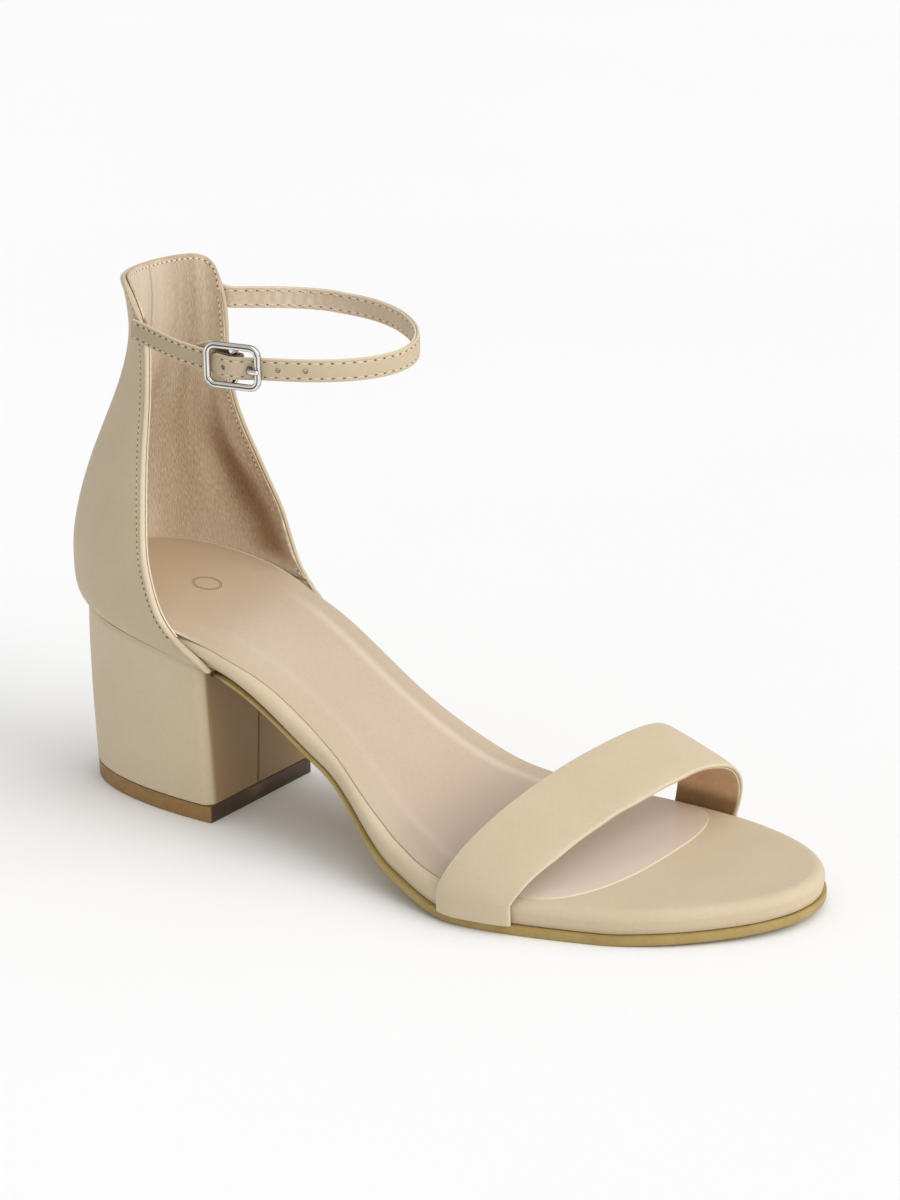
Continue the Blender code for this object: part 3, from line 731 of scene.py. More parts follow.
@dataclass
class Seam:
    """Row of stitches: threads between dark beads, the painted shade of needle holes, whose breadth and
    length needle gives.
    """

    pitch: float = 2.0
    thread: float = 0.5
    thread_share: float = 0.62
    needle: Pair = (0.5, 0.95)
    hole_deep: float = 0.3
    flat: float = 0.8
    sunk: float = 0.1
    bead_rows: int = 6
    bead_sides: int = 8
    yarn: Finish = THREAD
    threads: BMesh = field(default_factory=bmesh.new)
    holes: BMesh = field(default_factory=bmesh.new)

    def sew(self, path: Points, normal: Points) -> None:
        """Put stitches along a path, with a needle hole's painted shade between two threads.

        Args:
            path: points on the surface.
            normal: outward normals there.
        """
        length = run_length(path, 0)[-1]
        count = max(int(length // self.pitch), 1)
        middles = (np.arange(count) + 0.5) * length / count
        self.lay(self.threads, path, normal, middles,
                 (self.pitch * self.thread_share, self.thread, self.thread * self.flat))
        hole_wide, hole_long = self.needle
        self.lay(self.holes, path, normal, middles[:-1] + length / count / 2,
                 (hole_long, hole_wide, self.hole_deep))

    def lay(self, bm: BMesh, path: Points, normal: Points, middles: Points, size: Triple) -> None:
        """Lay a row of round beads on a surface, sunk a little into it.

        Args:
            bm: bmesh that takes the beads.
            path: points on the surface.
            normal: outward normals there.
            middles: places of the beads along the path.
            size: length, breadth and height of a bead.
        """
        run = run_length(path, 0)
        share = np.cos(np.linspace(math.pi, 0, self.bead_rows))
        at = (middles[:, None] + share * size[0] / 2).ravel()
        spot, up, ahead = (np.stack([np.interp(at, run, axis) for axis in values.T], axis=1)
                           for values in (path, normal, np.gradient(path, axis=0)))
        up = unit(up)
        across = unit(np.cross(up, ahead))
        around = np.linspace(0, 2 * math.pi, self.bead_sides + 1)
        ring = (across[:, None] * np.cos(around)[:, None] * size[1] / 2
                + up[:, None] * np.sin(around)[:, None] * size[2] / 2)
        radius = np.tile(np.sqrt(1 - share**2), len(middles))
        draped_grid((spot - up * self.sunk / 2)[:, None] + ring * radius[:, None, None], None, bm)

    def finish(self, bench: Bench, name: str, slot: Slot) -> None:
        """Part the beads from one another and put the threads and the needle holes' painted shade on the
        frame.

        Args:
            bench: where finished pieces go.
            name: start of both pieces' names.
            slot: their material slot.
        """
        for bm in (self.threads, self.holes):
            bmesh.ops.remove_doubles(bm, verts=bm.verts, dist=WELD)
            bmesh.ops.delete(bm, geom=[edge for edge in bm.edges if edge.is_wire], context="EDGES")
        bench.add(f"{name}_thread", self.threads, [self.yarn], slot)
        bench.add(f"{name}_needle_hole_shades", self.holes, [NEEDLE_HOLE_SHADE], slot)


class Section(NamedTuple):
    """Cross-section of the footbed and outsole."""

    x: float
    half: float
    centre: float
    top: float
    under: float
    tuck: float
    sole: float
    welt: float


@dataclass
class Last:
    """The foot's side of the shoe: the footbed's plan and heights."""

    sections: tuple[Section, ...] = (
        Section(1.8, 0.0, -0.5, 64.0, 52.8, 3.6, 1.6, -1.2),
        Section(10, 18.0, -0.5, 63.3, 52.6, 4.4, 1.6, -1.2),
        Section(30, 26.0, -0.5, 59.9, 51.1, 4.2, 1.6, -1.2),
        Section(48, 27.0, -0.8, 55.8, 48.7, 3.0, 1.2, -1.2),
        Section(62, 26.0, -1.6, 51.9, 45.9, 2.4, 1.2, -0.8),
        Section(95, 24.6, -2.4, 33.3, 27.1, 0.8, 1.4, 0.0),
        Section(125, 34.7, -2.4, 14.1, 7.9, 0.6, 2.2, 0.8),
        Section(150, 41.8, -0.6, 9.0, 2.8, 0.6, 2.5, 0.8),
        Section(186, 37.1, 3.3, 9.0, 2.8, 0.6, 2.5, 0.8),
        Section(199, 31.9, 4.6, 9.5, 3.3, 0.6, 2.5, 0.8),
        Section(215, 20.3, 6.9, 10.2, 4.0, 0.6, 2.5, 0.6),
        Section(224.7, 0.0, 7.6, 11.0, 4.8, 0.6, 2.5, 0.4),
    )
    seat_front: float = 48.0
    seat_fullness: float = 2.25

    def read(self, name: str, x: Points) -> Points:
        """Read a column of the sections at places along X."""
        return column(self.sections, name, np.clip(x, self.sections[0].x, self.sections[-1].x))

    def half(self, x: Points) -> Points:
        """Half width of the footbed: the heel seat's superellipse, then the sections.

        Args:
            x: places along X.

        Returns:
            The half widths.
        """
        x = np.asarray(x, float)
        back = self.sections[0].x
        seat = next(row for row in self.sections if row.x == self.seat_front)
        share = np.clip((self.seat_front - x) / (self.seat_front - back), 0, 1)
        seat_half = seat.half * (1 - share**self.seat_fullness) ** (1 / self.seat_fullness)
        squared = smooth([row.x for row in self.sections], [row.half**2 for row in self.sections], x)
        return np.where(x < self.seat_front, seat_half, np.sqrt(np.maximum(squared, 0)))

    def edge(self, first: float, last: float, stations: int) -> Points:
        """Plan outline of the footbed between two places along X."""
        x = spread(first, last, stations)
        return outline(x, self.half(x), self.read("centre", x))


@dataclass
class Footbed:
    """Covered insole board with a rolled top edge."""

    last: Last
    stations: int = 170
    roll: float = 3.0
    roll_steps: int = 7
    side_tuck: tuple[float, ...] = (1.0, 0.65, 0.3, 0.05)
    side_rise: tuple[float, ...] = (0.0, 0.12, 0.3, 0.5)
    side_steps: int = 8
    across_steps: int = 7

    def loops(self) -> list[Points]:
        """Loops from the middle of the underside, round the side, to the middle of the top.

        Returns:
            The loops.
        """
        last = self.last
        edge = last.edge(last.sections[0].x, last.sections[-1].x, self.stations)
        tuck = last.read("tuck", edge[:, 0])
        loops = []
        low = inset(edge, tuck)
        for share in np.linspace(1, 0, self.across_steps)[:-1]:
            loop = drawn_in(low, last.read("centre", low[:, 0]), share)
            loops.append(lifted(loop, last.read("under", loop[:, 0])))
        for rise in np.linspace(0, self.side_rise[-1], self.side_steps):
            loop = inset(edge, tuck * smooth(self.side_rise, self.side_tuck, rise))
            under, top = (last.read(name, loop[:, 0]) for name in ("under", "top"))
            loops.append(lifted(loop, under + (top - under) * rise))
        for angle in np.linspace(0, math.pi / 2, self.roll_steps):
            loop = inset(edge, self.roll * (1 - math.cos(angle)))
            loops.append(lifted(loop, last.read("top", loop[:, 0]) - self.roll * (1 - math.sin(angle))))
        for share in np.linspace(0, 1, self.across_steps)[1:]:
            inner = drawn_in(loop, last.read("centre", loop[:, 0]), share)
            loops.append(lifted(inner, last.read("top", inner[:, 0])))
        return loops

    def build(self, bench: Bench) -> None:
        """Build the covered board."""
        bm = draped_grid(round_trip(self.loops()))
        bench.add("footbed_wrap", bm, [COVER], Slot.COVER, ["footbed"])


@dataclass
class Outsole:
    """Thin outsole from the heel breast to the toe."""

    last: Last
    back: float = 59.0
    stations: int = 150
    gap: float = 0.3
    chamfer: float = 0.4
    profile: tuple[Pair, ...] = ((0.0, 1.0), (0.12, 0.3), (0.3, 0.0), (0.85, 0.0), (0.95, 0.2), (1.0, 0.7))
    end_share: float = 0.5
    end_long: float = 6.0
    across_steps: int = 6

    def build(self, bench: Bench) -> None:
        """Build the sole; its profile is a share of the thickness and a share of the chamfer.

        Args:
            bench: where finished pieces go.
        """
        last = self.last
        edge = last.edge(self.back, last.sections[-1].x, self.stations)
        welt = last.read("welt", edge[:, 0])
        loops = []
        for rise, draw in self.profile:
            loop = inset(edge, self.chamfer * draw - welt)
            loop[:, 0] = np.maximum(loop[:, 0], self.back)
            top = last.read("under", loop[:, 0]) - self.gap
            full = ease(loop[:, 0], self.back, self.back + self.end_long)
            thick = last.read("sole", loop[:, 0]) * (self.end_share + (1 - self.end_share) * full)
            loops.append(lifted(loop, top - (1 - rise) * thick))
        middles = [last.read("centre", loop[:, 0]) for loop in (loops[0], loops[-1])]
        points = capped(loops, middles, self.across_steps)
        # Painted shade on the sole's back end by the heel breast.
        notch = 1 - ease(points[..., 0], self.back, self.back + self.end_long)
        bench.add("outsole_rand", draped_grid(points, {"notch": notch}), [SOLE], Slot.SOLE, ["outsole"])


class HeelLevel(NamedTuple):
    """Plan of the heel at a height."""

    z: float
    back: float
    breast: float
    half: float


@dataclass
class Heel:
    """Covered block heel and the rubber lift under it."""

    last: Last
    levels: tuple[HeelLevel, ...] = (
        HeelLevel(0.0, -0.7, 54.2, 22.8),
        HeelLevel(20.0, -0.7, 55.4, 24.7),
        HeelLevel(38.0, -0.1, 56.6, 26.7),
        HeelLevel(50.0, 0.8, 57.6, 28.0),
    )
    fullness: float = 2.2
    side: float = -0.4
    corner: float = 3.2
    stations: int = 70
    crowding: float = 0.85
    rings: int = 26
    ring_start: float = 0.015
    ring_crowding: float = 0.9
    roll: tuple[Pair, ...] = ((0.9, 0.0), (0.45, 0.08), (0.15, 0.25))
    gap: float = 0.2
    seat_gap: float = 0.03
    seat_tuck: float = 0.35
    seat_from: float = 0.975
    lift_thick: float = 4.8
    lift_corner: float = 0.7
    lift_edge: float = 0.4
    lift_breast: Pair = (-0.3, -0.05)
    # a paler patch in the lift breast's painted shade: its place and width across and up, and its share
    patch_across: Pair = (-3.4, 4.0)
    patch_up: Pair = (3.6, 1.2)
    patch_share: float = 0.6
    seam_side: float = -2.4
    seam_deep: float = 0.35
    seam_wide: float = 0.3
    seam_tone: float = 0.7
    seam_steps: tuple[float, ...] = (-5, -3, -2, -1.3, -0.7, 0, 0.7, 1.3, 2, 3, 5)
    breast_columns: int = 12
    breast_turn: Pair = (1.0, 1.57)
    across_steps: int = 5

    def plan(self, z: float, corner: float, seam: float = 0.0) -> Points:
        """D-shaped plan at a height.

        Args:
            z: the height.
            corner: radius of the breast corners.
            seam: depth of the cover's seam down the breast.

        Returns:
            Closed outline, down the outer side, across the breast and back up the inner side.
        """
        back, breast, half = (column(self.levels, name, z, "z") for name in ("back", "breast", "half"))
        x = spread(back, breast, self.stations, self.crowding)
        round_back = (1 - ((breast - x) / (breast - back)) ** self.fullness) ** (1 / self.fullness)
        past = np.clip((x - breast + corner) / corner, 0, 1)
        width = half * round_back - corner * (1 - np.sqrt(1 - past**2))
        loop = outline(x, width, self.side)
        near = self.seam_wide * np.array(self.seam_steps) + self.seam_side
        edge = half - corner
        y = np.concatenate([np.linspace(self.side - edge, near[0], self.breast_columns + 1)[1:-1], near,
                            np.linspace(near[-1], self.side + edge, self.breast_columns + 1)[1:-1]])
        face = np.stack([breast - seam * bell(y, self.seam_side, self.seam_wide), y], axis=1)
        return np.vstack([loop[:self.stations], face, loop[self.stations:]])

    def block_loops(self) -> list[Points]:
        """Loops of the covered block, with its lower edge rolled in.

        Returns:
            The loops, from the lift up.
        """
        bottom = self.lift_thick + self.gap
        top_row = self.levels[-1].z
        loops = [lifted(inset(self.plan(bottom, self.corner), draw), bottom + rise)
                 for draw, rise in self.roll]
        for share in spread(self.ring_start, 1, self.rings, self.ring_crowding):
            loop = self.plan(bottom + (top_row - bottom) * share, self.corner, self.seam_deep)
            loop = inset(loop, self.seat_tuck * ease(share, self.seat_from, 1))
            under = self.last.read("under", loop[:, 0]) - self.seat_gap
            loops.append(lifted(loop, bottom + (under - bottom) * share))
        return loops

    def lift_loops(self) -> list[Points]:
        """Loops of the lift, with small worn edges.

        Returns:
            The loops, from the ground up.
        """
        edge = self.plan(0.0, self.lift_corner)
        thick = self.lift_thick
        profile = ((self.lift_edge, 0.0), (self.lift_edge * 0.3, 0.12), (0.0, self.lift_edge),
                   (0.0, thick / 2), (0.0, thick - 0.25), (0.08, thick - 0.06), (0.25, thick))
        return [lifted(inset(edge, draw), rise) for draw, rise in profile]

    def build(self, bench: Bench) -> None:
        """Build the block and its lift.

        Args:
            bench: where finished pieces go.
        """
        middles = (self.side, self.side)
        points = capped(self.block_loops(), middles, self.across_steps)
        x, y, z = np.moveaxis(points, -1, 0)
        # Painted shade on the heel breast and on the corners as they round into it; the seam down the
        # breast is its own dark line.
        behind = column(self.levels, "breast", z, "z") - x
        turned = np.arcsin(np.clip(1 - behind / self.corner, 0, 1))
        flat = column(self.levels, "half", z, "z") - self.corner
        on_face = (np.abs(y - self.side) < flat) & (behind < 2 * self.seam_deep)
        breast = np.maximum(ease(turned, *self.breast_turn), on_face)
        seam = bell(y, self.seam_side, self.seam_wide) * on_face
        block = draped_grid(points, {"breast": breast, "groove": seam * self.seam_tone})
        bench.add("heel_cover", block, [COVER], Slot.COVER, ["heel_block"])
        points = capped(self.lift_loops(), middles, self.across_steps)
        x, y, z = np.moveaxis(points, -1, 0)
        # Painted shade on the lift's breast, with a paler patch in it left of the middle.
        breast = ease(x, *(self.levels[0].breast + np.array(self.lift_breast)))
        scuff = bell(y, *self.patch_across) * bell(z, *self.patch_up) * breast * self.patch_share
        lift = draped_grid(points, {"scuff": scuff, "breast": breast})
        bench.add("heel_lift", lift, [LIFT], Slot.LIFT, ["top_lift"])


class CounterLevel(NamedTuple):
    """One level of the counter: a U round the heel with its own heights at back and front."""

    back_z: float
    edge_z: float
    back_x: float
    edge_x: float
    half: float
    fullness: float
    bend: float


@dataclass
class Counter:
    """Heel counter with its tab: a cover with a turned rim, and a suede lining."""

    last: Last
    levels: tuple[CounterLevel, ...] = (
        CounterLevel(52.9, 46.6, 2.2, 60.0, 28.2, 2.25, 2),
        CounterLevel(55.9, 52.3, 0.2, 53.2, 29.8, 2.25, 2),
        CounterLevel(60.1, 57.9, -1.0, 48.0, 30.5, 2.25, 2),
        CounterLevel(65.8, 63.5, -0.8, 45.2, 31.0, 2.25, 2),
        CounterLevel(73.2, 73.2, -0.5, 42.4, 30.7, 2.2, 2),
        CounterLevel(81.5, 81.5, 0.6, 40.2, 28.4, 2.15, 2),
        CounterLevel(94.0, 94.0, 4.4, 37.6, 24.3, 2.1, 2),
        CounterLevel(106.6, 106.6, 10.0, 35.6, 20.1, 2.0, 2),
        CounterLevel(119.0, 119.0, 16.3, 35.4, 17.8, 2.0, 2),
        CounterLevel(131.7, 131.7, 21.1, 35.8, 17.5, 2.0, 2),
        CounterLevel(141.0, 138.5, 21.9, 34.2, 18.1, 2.0, 3),
        CounterLevel(148.4, 141.8, 21.2, 32.8, 18.7, 2.0, 4),
    )
    side: float = -0.5
    wall: float = 2.0
    cover_thick: float = 1.3
    lining_thick: float = 0.5
    lining_in: float = 0.1
    lining_start: float = 0.9
    lining_front: float = 1.5
    corner: float = 5.0
    blend_rows: float = 0.45
    least_corner: float = 0.5
    columns: int = 170
    crowding: float = 0.75
    rows: int = 120
    rim_steps: int = 9
    rim_high: float = 0.34
    rim_at: float = 1.1
    rim_wide: float = 0.95
    rim_inside: Pair = (0.7, 0.95)
    pale_from: Pair = (1.2, 2.6)
    pale_to: Pair = (8.6, 10.0)
    pale_line: Pair = (0.8, 1.2)
    stitch_in: float = 2.6
    stitch_dip: float = 0.14
    stitch_wide: float = 0.4
    stitch_level: float = 1.3
    stitch_pitch: float = 1.6
    needle: Pair = (0.4, 0.75)
    lining_stitch_in: float = 1.3
    lining_stitch_level: float = 1.6
    lining_needle: Pair = (0.45, 0.6)
    gather_high: float = 0.16
    gather_pitch: float = 3.4
    gather_levels: Pair = (1.25, 0.7)
    gather_reach: Pair = (1.5, 6.0)
    foot_roll: float = 0.3
    foot_rows: float = 0.3
    foot_fold: float = 0.6
    foot_fold_rows: Pair = (-0.4, 0.3)
    front_rise: Pair = (0.8, 0.97)
    fine_rows: int = 240
    fold_levels: tuple[float, ...] = (2.5, 3.4, 4.3, 5.2, 5.6, 6.0, 6.8, 7.5)
    fold_turns: tuple[float, ...] = (0.955, 0.945, 0.92, 0.9, 0.875, 0.85, 0.83, 0.82)
    fold_start: Pair = (-0.8, 0.4)
    fold_stop: Pair = (-2.2, 0.3)
    fold_wide: float = 0.036
    fold_high: float = 0.65
    shade_back: float = 0.8
    shade_wide: float = 2.3
    seam_high: float = 0.2
    seam_wide: float = 0.012
    seam_tone: float = 0.55
    panel_turns: Pair = (-0.02, 0.01)
    panel_pale: float = 0.35
    low_levels: Pair = (2.0, 5.0)
    low_painted_light: float = 0.45
    cream_turns: Pair = (-1.0, -0.9)
    tab_levels: Pair = (7.6, 9.2)
    tab_turns: Pair = (0.1, 0.55)
    tab_pale: float = 0.6
    tab_groove: float = 0.25
    nap_wide: float = 52.0

    def read(self, name: str, level: Points) -> Points:
        """Read a column of the levels at places up the counter, in table rows."""
        return smooth(np.arange(len(self.levels)), [getattr(row, name) for row in self.levels], level)

    def point(self, turn: Points, level: Points, out: Points | float = 0.0) -> Points:
        """Points of the outer face.

        Args:
            turn: place round the U, from -1 on the outer side to 1 on the inner side.
            level: place up the counter, in table rows.
            out: distance out from the face.

        Returns:
            The points.
        """
        level = np.asarray(level, float)
        reach = self.blend_rows * np.clip(np.minimum(level, len(self.levels) - 1 - level), 0, 1)
        read = {}
        for name in CounterLevel._fields:
            above, at, below = (self.read(name, level + way * reach) for way in (1, 0, -1))
            read[name] = (above + 2 * at + below) / 4
        angle = np.asarray(turn, float) * math.pi / 2
        power = 2 / read["fullness"]
        across = np.sign(turn) * np.abs(np.sin(angle)) ** power
        reach = np.cos(angle).clip(0) ** power
        x = read["edge_x"] - (read["edge_x"] - read["back_x"] + out) * reach
        y = self.side + (read["half"] + out) * across
        late = (1 - np.cos(angle)) ** read["bend"]
        z = read["back_z"] + (read["edge_z"] - read["back_z"]) * late
        foot = self.levels[0]
        drop = self.last.read("under", x) - foot.back_z - (foot.edge_z - foot.back_z) * late
        z = z + drop * np.clip(1 - level, 0, 1)
        return np.stack(np.broadcast_arrays(x, y, z), axis=-1)

    def level_at(self, z: Points) -> Points:
        """Level whose back stands at a height."""
        heights = [row.back_z for row in self.levels]
        return np.interp(z, heights, np.arange(len(heights)))

    def inner_half(self, x: Points, z: Points, room: float) -> Points:
        """Half width inside the counter at places along X, a little clear of its lining.

        Args:
            x: the places.
            z: their heights.
            room: distance in from the outer face.

        Returns:
            The half widths.
        """
        level = self.level_at(z)
        names = ("back_x", "edge_x", "half", "fullness")
        back, front, half, full = (self.read(name, level) for name in names)
        share = np.clip((front - x) / (front - back - room), 0, 1)
        return (half - room) * (1 - share**full) ** (1 / full)

    def lattice(self, edge_in: float, back: float, front: float) -> tuple[Points, Points]:
        """Turns and levels of a grid that stays inside the front edges and the rounded tab.

        Args:
            edge_in: distance inside the edge.
            back: lowest level at the back.
            front: lowest level at the front edges.

        Returns:
            The turns and the levels, each as rows and columns.
        """
        turn = spread(-1, 1, self.columns, self.crowding)
        top = len(self.levels) - 1
        first = back + (front - back) * ease(np.abs(turn), *self.front_rise)
        fine = first + (top - first) * np.linspace(0, 1, self.fine_rows)[:, None]
        length = run_length(self.point(turn[None, :], fine), 0)
        run = run_length(self.point(turn, float(top))[None], 1)[0]
        inward = np.minimum(run, run[-1] - run)
        radius = max(self.corner - edge_in, self.least_corner)
        past = np.clip(radius - inward, 0, radius)
        reach = length[-1] - edge_in - radius + np.sqrt(radius**2 - past**2)
        share = np.linspace(0, 1, self.rows)
        columns = zip(reach, length.T, fine.T)
        level = np.stack([np.interp(share * end, *rows) for end, *rows in columns], axis=1)
        rate = np.linalg.norm(self.point(1.0, level) - self.point(1 - NUDGE, level), axis=-1) / NUDGE
        return turn[None, :] * (1 - edge_in / rate), level

    def surface(self, edge_in: float, back: float, front: float) -> tuple[Points, Points]:
        """Points and normals of the outer face inside an edge."""
        points = self.point(*self.lattice(edge_in, back, front))
        return points, normals_of(points)

    @staticmethod
    def border(grid: Points) -> Points:
        """Way along a grid's edge: up the outer side, over the tab and down the inner side."""
        return np.concatenate([grid[:, 0], grid[-1, 1:-1], grid[::-1, -1]])

    def shell(self, start: Triple, depths: Pair, relief: Points | float,
              swell: Points | float, masks: dict[str, Points], rim: dict[str, Points]) -> BMesh:
        """Closed layer with a rounded rim.

        Args:
            start: the rim's distance inside the counter's edge, and the lowest levels at back and front.
            depths: outer and inner depth of the layer.
            relief: extra height of the outer face.
            swell: extra thickness on the inner face.
            masks: values of the faces' points, by attribute name.
            rim: values of the rim's points, from the outer to the inner face, by attribute name.

        Returns:
            The layer.
        """
        edge_in, *levels = start
        high, low = depths
        radius = (high - low) / 2
        points, normals = self.surface(edge_in + radius, *levels)
        relief, swell = (np.broadcast_to(value, points.shape[:2])[..., None] for value in (relief, swell))
        outer = points + normals * (high + relief)
        inner = points + normals * (low - swell)
        bm = draped_grid(outer, masks)
        draped_grid(inner, masks, bm)
        draped_grid(np.stack([outer[0], inner[0]]), None, bm)
        rows = []
        for angle in np.linspace(0, math.pi, self.rim_steps):
            around, outward = (self.border(grid) for grid in
                               self.surface(edge_in + radius * (1 - math.sin(angle)), *levels))
            share = (1 + math.cos(angle)) / 2
            depth = (high + self.border(relief)) * share + (low - self.border(swell)) * (1 - share)
            rows.append(around + outward * depth)
        strip = np.stack(rows)
        values = {name: np.broadcast_to(value, strip.shape[:2]) for name, value in rim.items()}
        draped_grid(strip, values, bm)
        close_ends(bm)
        return bm

    def add_cover(self, bench: Bench) -> None:
        """Cover with a full turned rim, the dip of its stitches and gathers low on the rim.

        Args:
            bench: where finished pieces go.
        """
        radius = self.cover_thick / 2
        turn, level = self.lattice(radius, 0.0, 0.0)
        points = self.point(turn, level)
        far = self.inward(points) + radius
        waves = np.sin(run_length(points, 0) * 2 * math.pi / self.gather_pitch)
        gathers = waves * bell(level, *self.gather_levels)
        relief = (self.rim_high * bell(far, self.rim_at, self.rim_wide)
                  - self.stitch_dip * bell(far, self.stitch_in, self.stitch_wide)
                  + self.gather_high * gathers * (1 - ease(far, *self.gather_reach))
                  - self.foot_roll * (1 - ease(level, 0, self.foot_rows)))
        swell = self.foot_fold * (1 - ease(level, *(self.lining_front + np.array(self.foot_fold_rows))))
        # Painted highlight on the outer side: along the rim and in a line just inside the edge.
        pale = (turn < 0) * ease(level, *self.pale_from) * (1 - ease(level, *self.pale_to))
        # Painted shade where the rim turns in towards the lining, less of it on the tab.
        inside = ease(np.linspace(0, 1, self.rim_steps), *self.rim_inside)[:, None]
        tab = self.border(ease(level, *self.tab_levels))[None, :]
        rim = {"worn": self.border(pale)[None, :] * (1 - inside),
               "groove": inside * (1 - tab * (1 - self.tab_groove))}
        bm = self.shell((0.0, 0.0, 0.0), (0.0, -self.cover_thick), relief, swell,
                        {"worn": pale * bell(far, *self.pale_line)}, rim)
        bench.add("counter_cover", bm, [SHADED_UPPER], Slot.COVER, ["heel_counter"])

    @staticmethod
    def inward(points: Points) -> Points:
        """Distance of a grid's points from its two front edges and its top."""
        across, up = run_length(points, 1), run_length(points, 0)
        return np.minimum(np.minimum(across, across[:, -1:] - across), up[-1:] - up)

    def add_lining(self, bench: Bench) -> None:
        """Suede lining: two panels with a back seam, a soft fold by the inner edge and a pale cut edge.

        Args:
            bench: where finished pieces go.
        """
        start = (self.lining_in, self.lining_start, self.lining_front)
        turn, level = self.lattice(self.lining_in + self.lining_thick / 2, *start[1:])
        first, *_, last = self.fold_levels
        middle = smooth(self.fold_levels, self.fold_turns, np.clip(level, first, last))
        length = (ease(level, *(first + np.array(self.fold_start)))
                  * (1 - ease(level, *(last + np.array(self.fold_stop)))))
        swell = (self.fold_high * length * bell(turn, middle + self.fold_wide, self.fold_wide)
                 + self.seam_high * bell(turn, self.seam_wide, self.seam_wide))
        # Paler outer panel, and painted light on the lining's lower levels.
        panel = (self.panel_pale * (1 - ease(turn, *self.panel_turns))
                 + self.low_painted_light * (1 - ease(level, *self.low_levels)))
        tab = self.tab_pale * ease(level, *self.tab_levels) * (1 - ease(turn, *self.tab_turns))
        masks = {"pale": np.maximum(panel, tab),
                 "pit": self.seam_tone * bell(turn, -self.seam_wide, self.seam_wide / 2),
                 "shade": length * bell(turn, middle - self.fold_wide * self.shade_back,
                                        self.fold_wide * self.shade_wide)}
        nap = dict(zip(NAP, (turn * self.nap_wide * MM, run_length(self.point(turn, level), 0) * MM)))
        rim = {name: self.border(values)[None, :] for name, values in nap.items()}
        rim["cream"] = (1 - ease(self.border(turn), *self.cream_turns))[None, :]
        bm = self.shell(start, (self.lining_thick - self.wall, -self.wall), 0.0, swell, masks | nap, rim)
        bench.add("counter_lining", bm, [LINING], Slot.SOCK)

    def add_stitches(self, bench: Bench) -> None:
        """Two seams inside the edge: one on the cover and one on the lining.

        Args:
            bench: where finished pieces go.
        """
        seam = Seam(pitch=self.stitch_pitch, needle=self.needle)
        path, normal = self.seam_line(self.stitch_in, self.stitch_level)
        seam.sew(path, normal)
        seam.finish(bench, "counter", Slot.COVER)
        inner_seam = Seam(pitch=self.stitch_pitch, needle=self.lining_needle, yarn=PALE_THREAD)
        path, normal = self.seam_line(self.lining_stitch_in, self.lining_stitch_level)
        inner_seam.sew(path - normal * self.wall, -normal)
        inner_seam.finish(bench, "counter_lining", Slot.SOCK)

    def seam_line(self, edge_in: float, level: float) -> tuple[Points, Points]:
        """Points and normals of the outer face along its edge, from a lowest level up."""
        points, normals = self.surface(edge_in, level, level)
        return self.border(points), self.border(normals)

    def build(self, bench: Bench) -> None:
        """Build the counter."""
        self.add_cover(bench)
        self.add_lining(bench)
        self.add_stitches(bench)


class EdgeRoom(NamedTuple):
    """How far the sock stays inside the footbed's edge."""

    x: float
    room: float


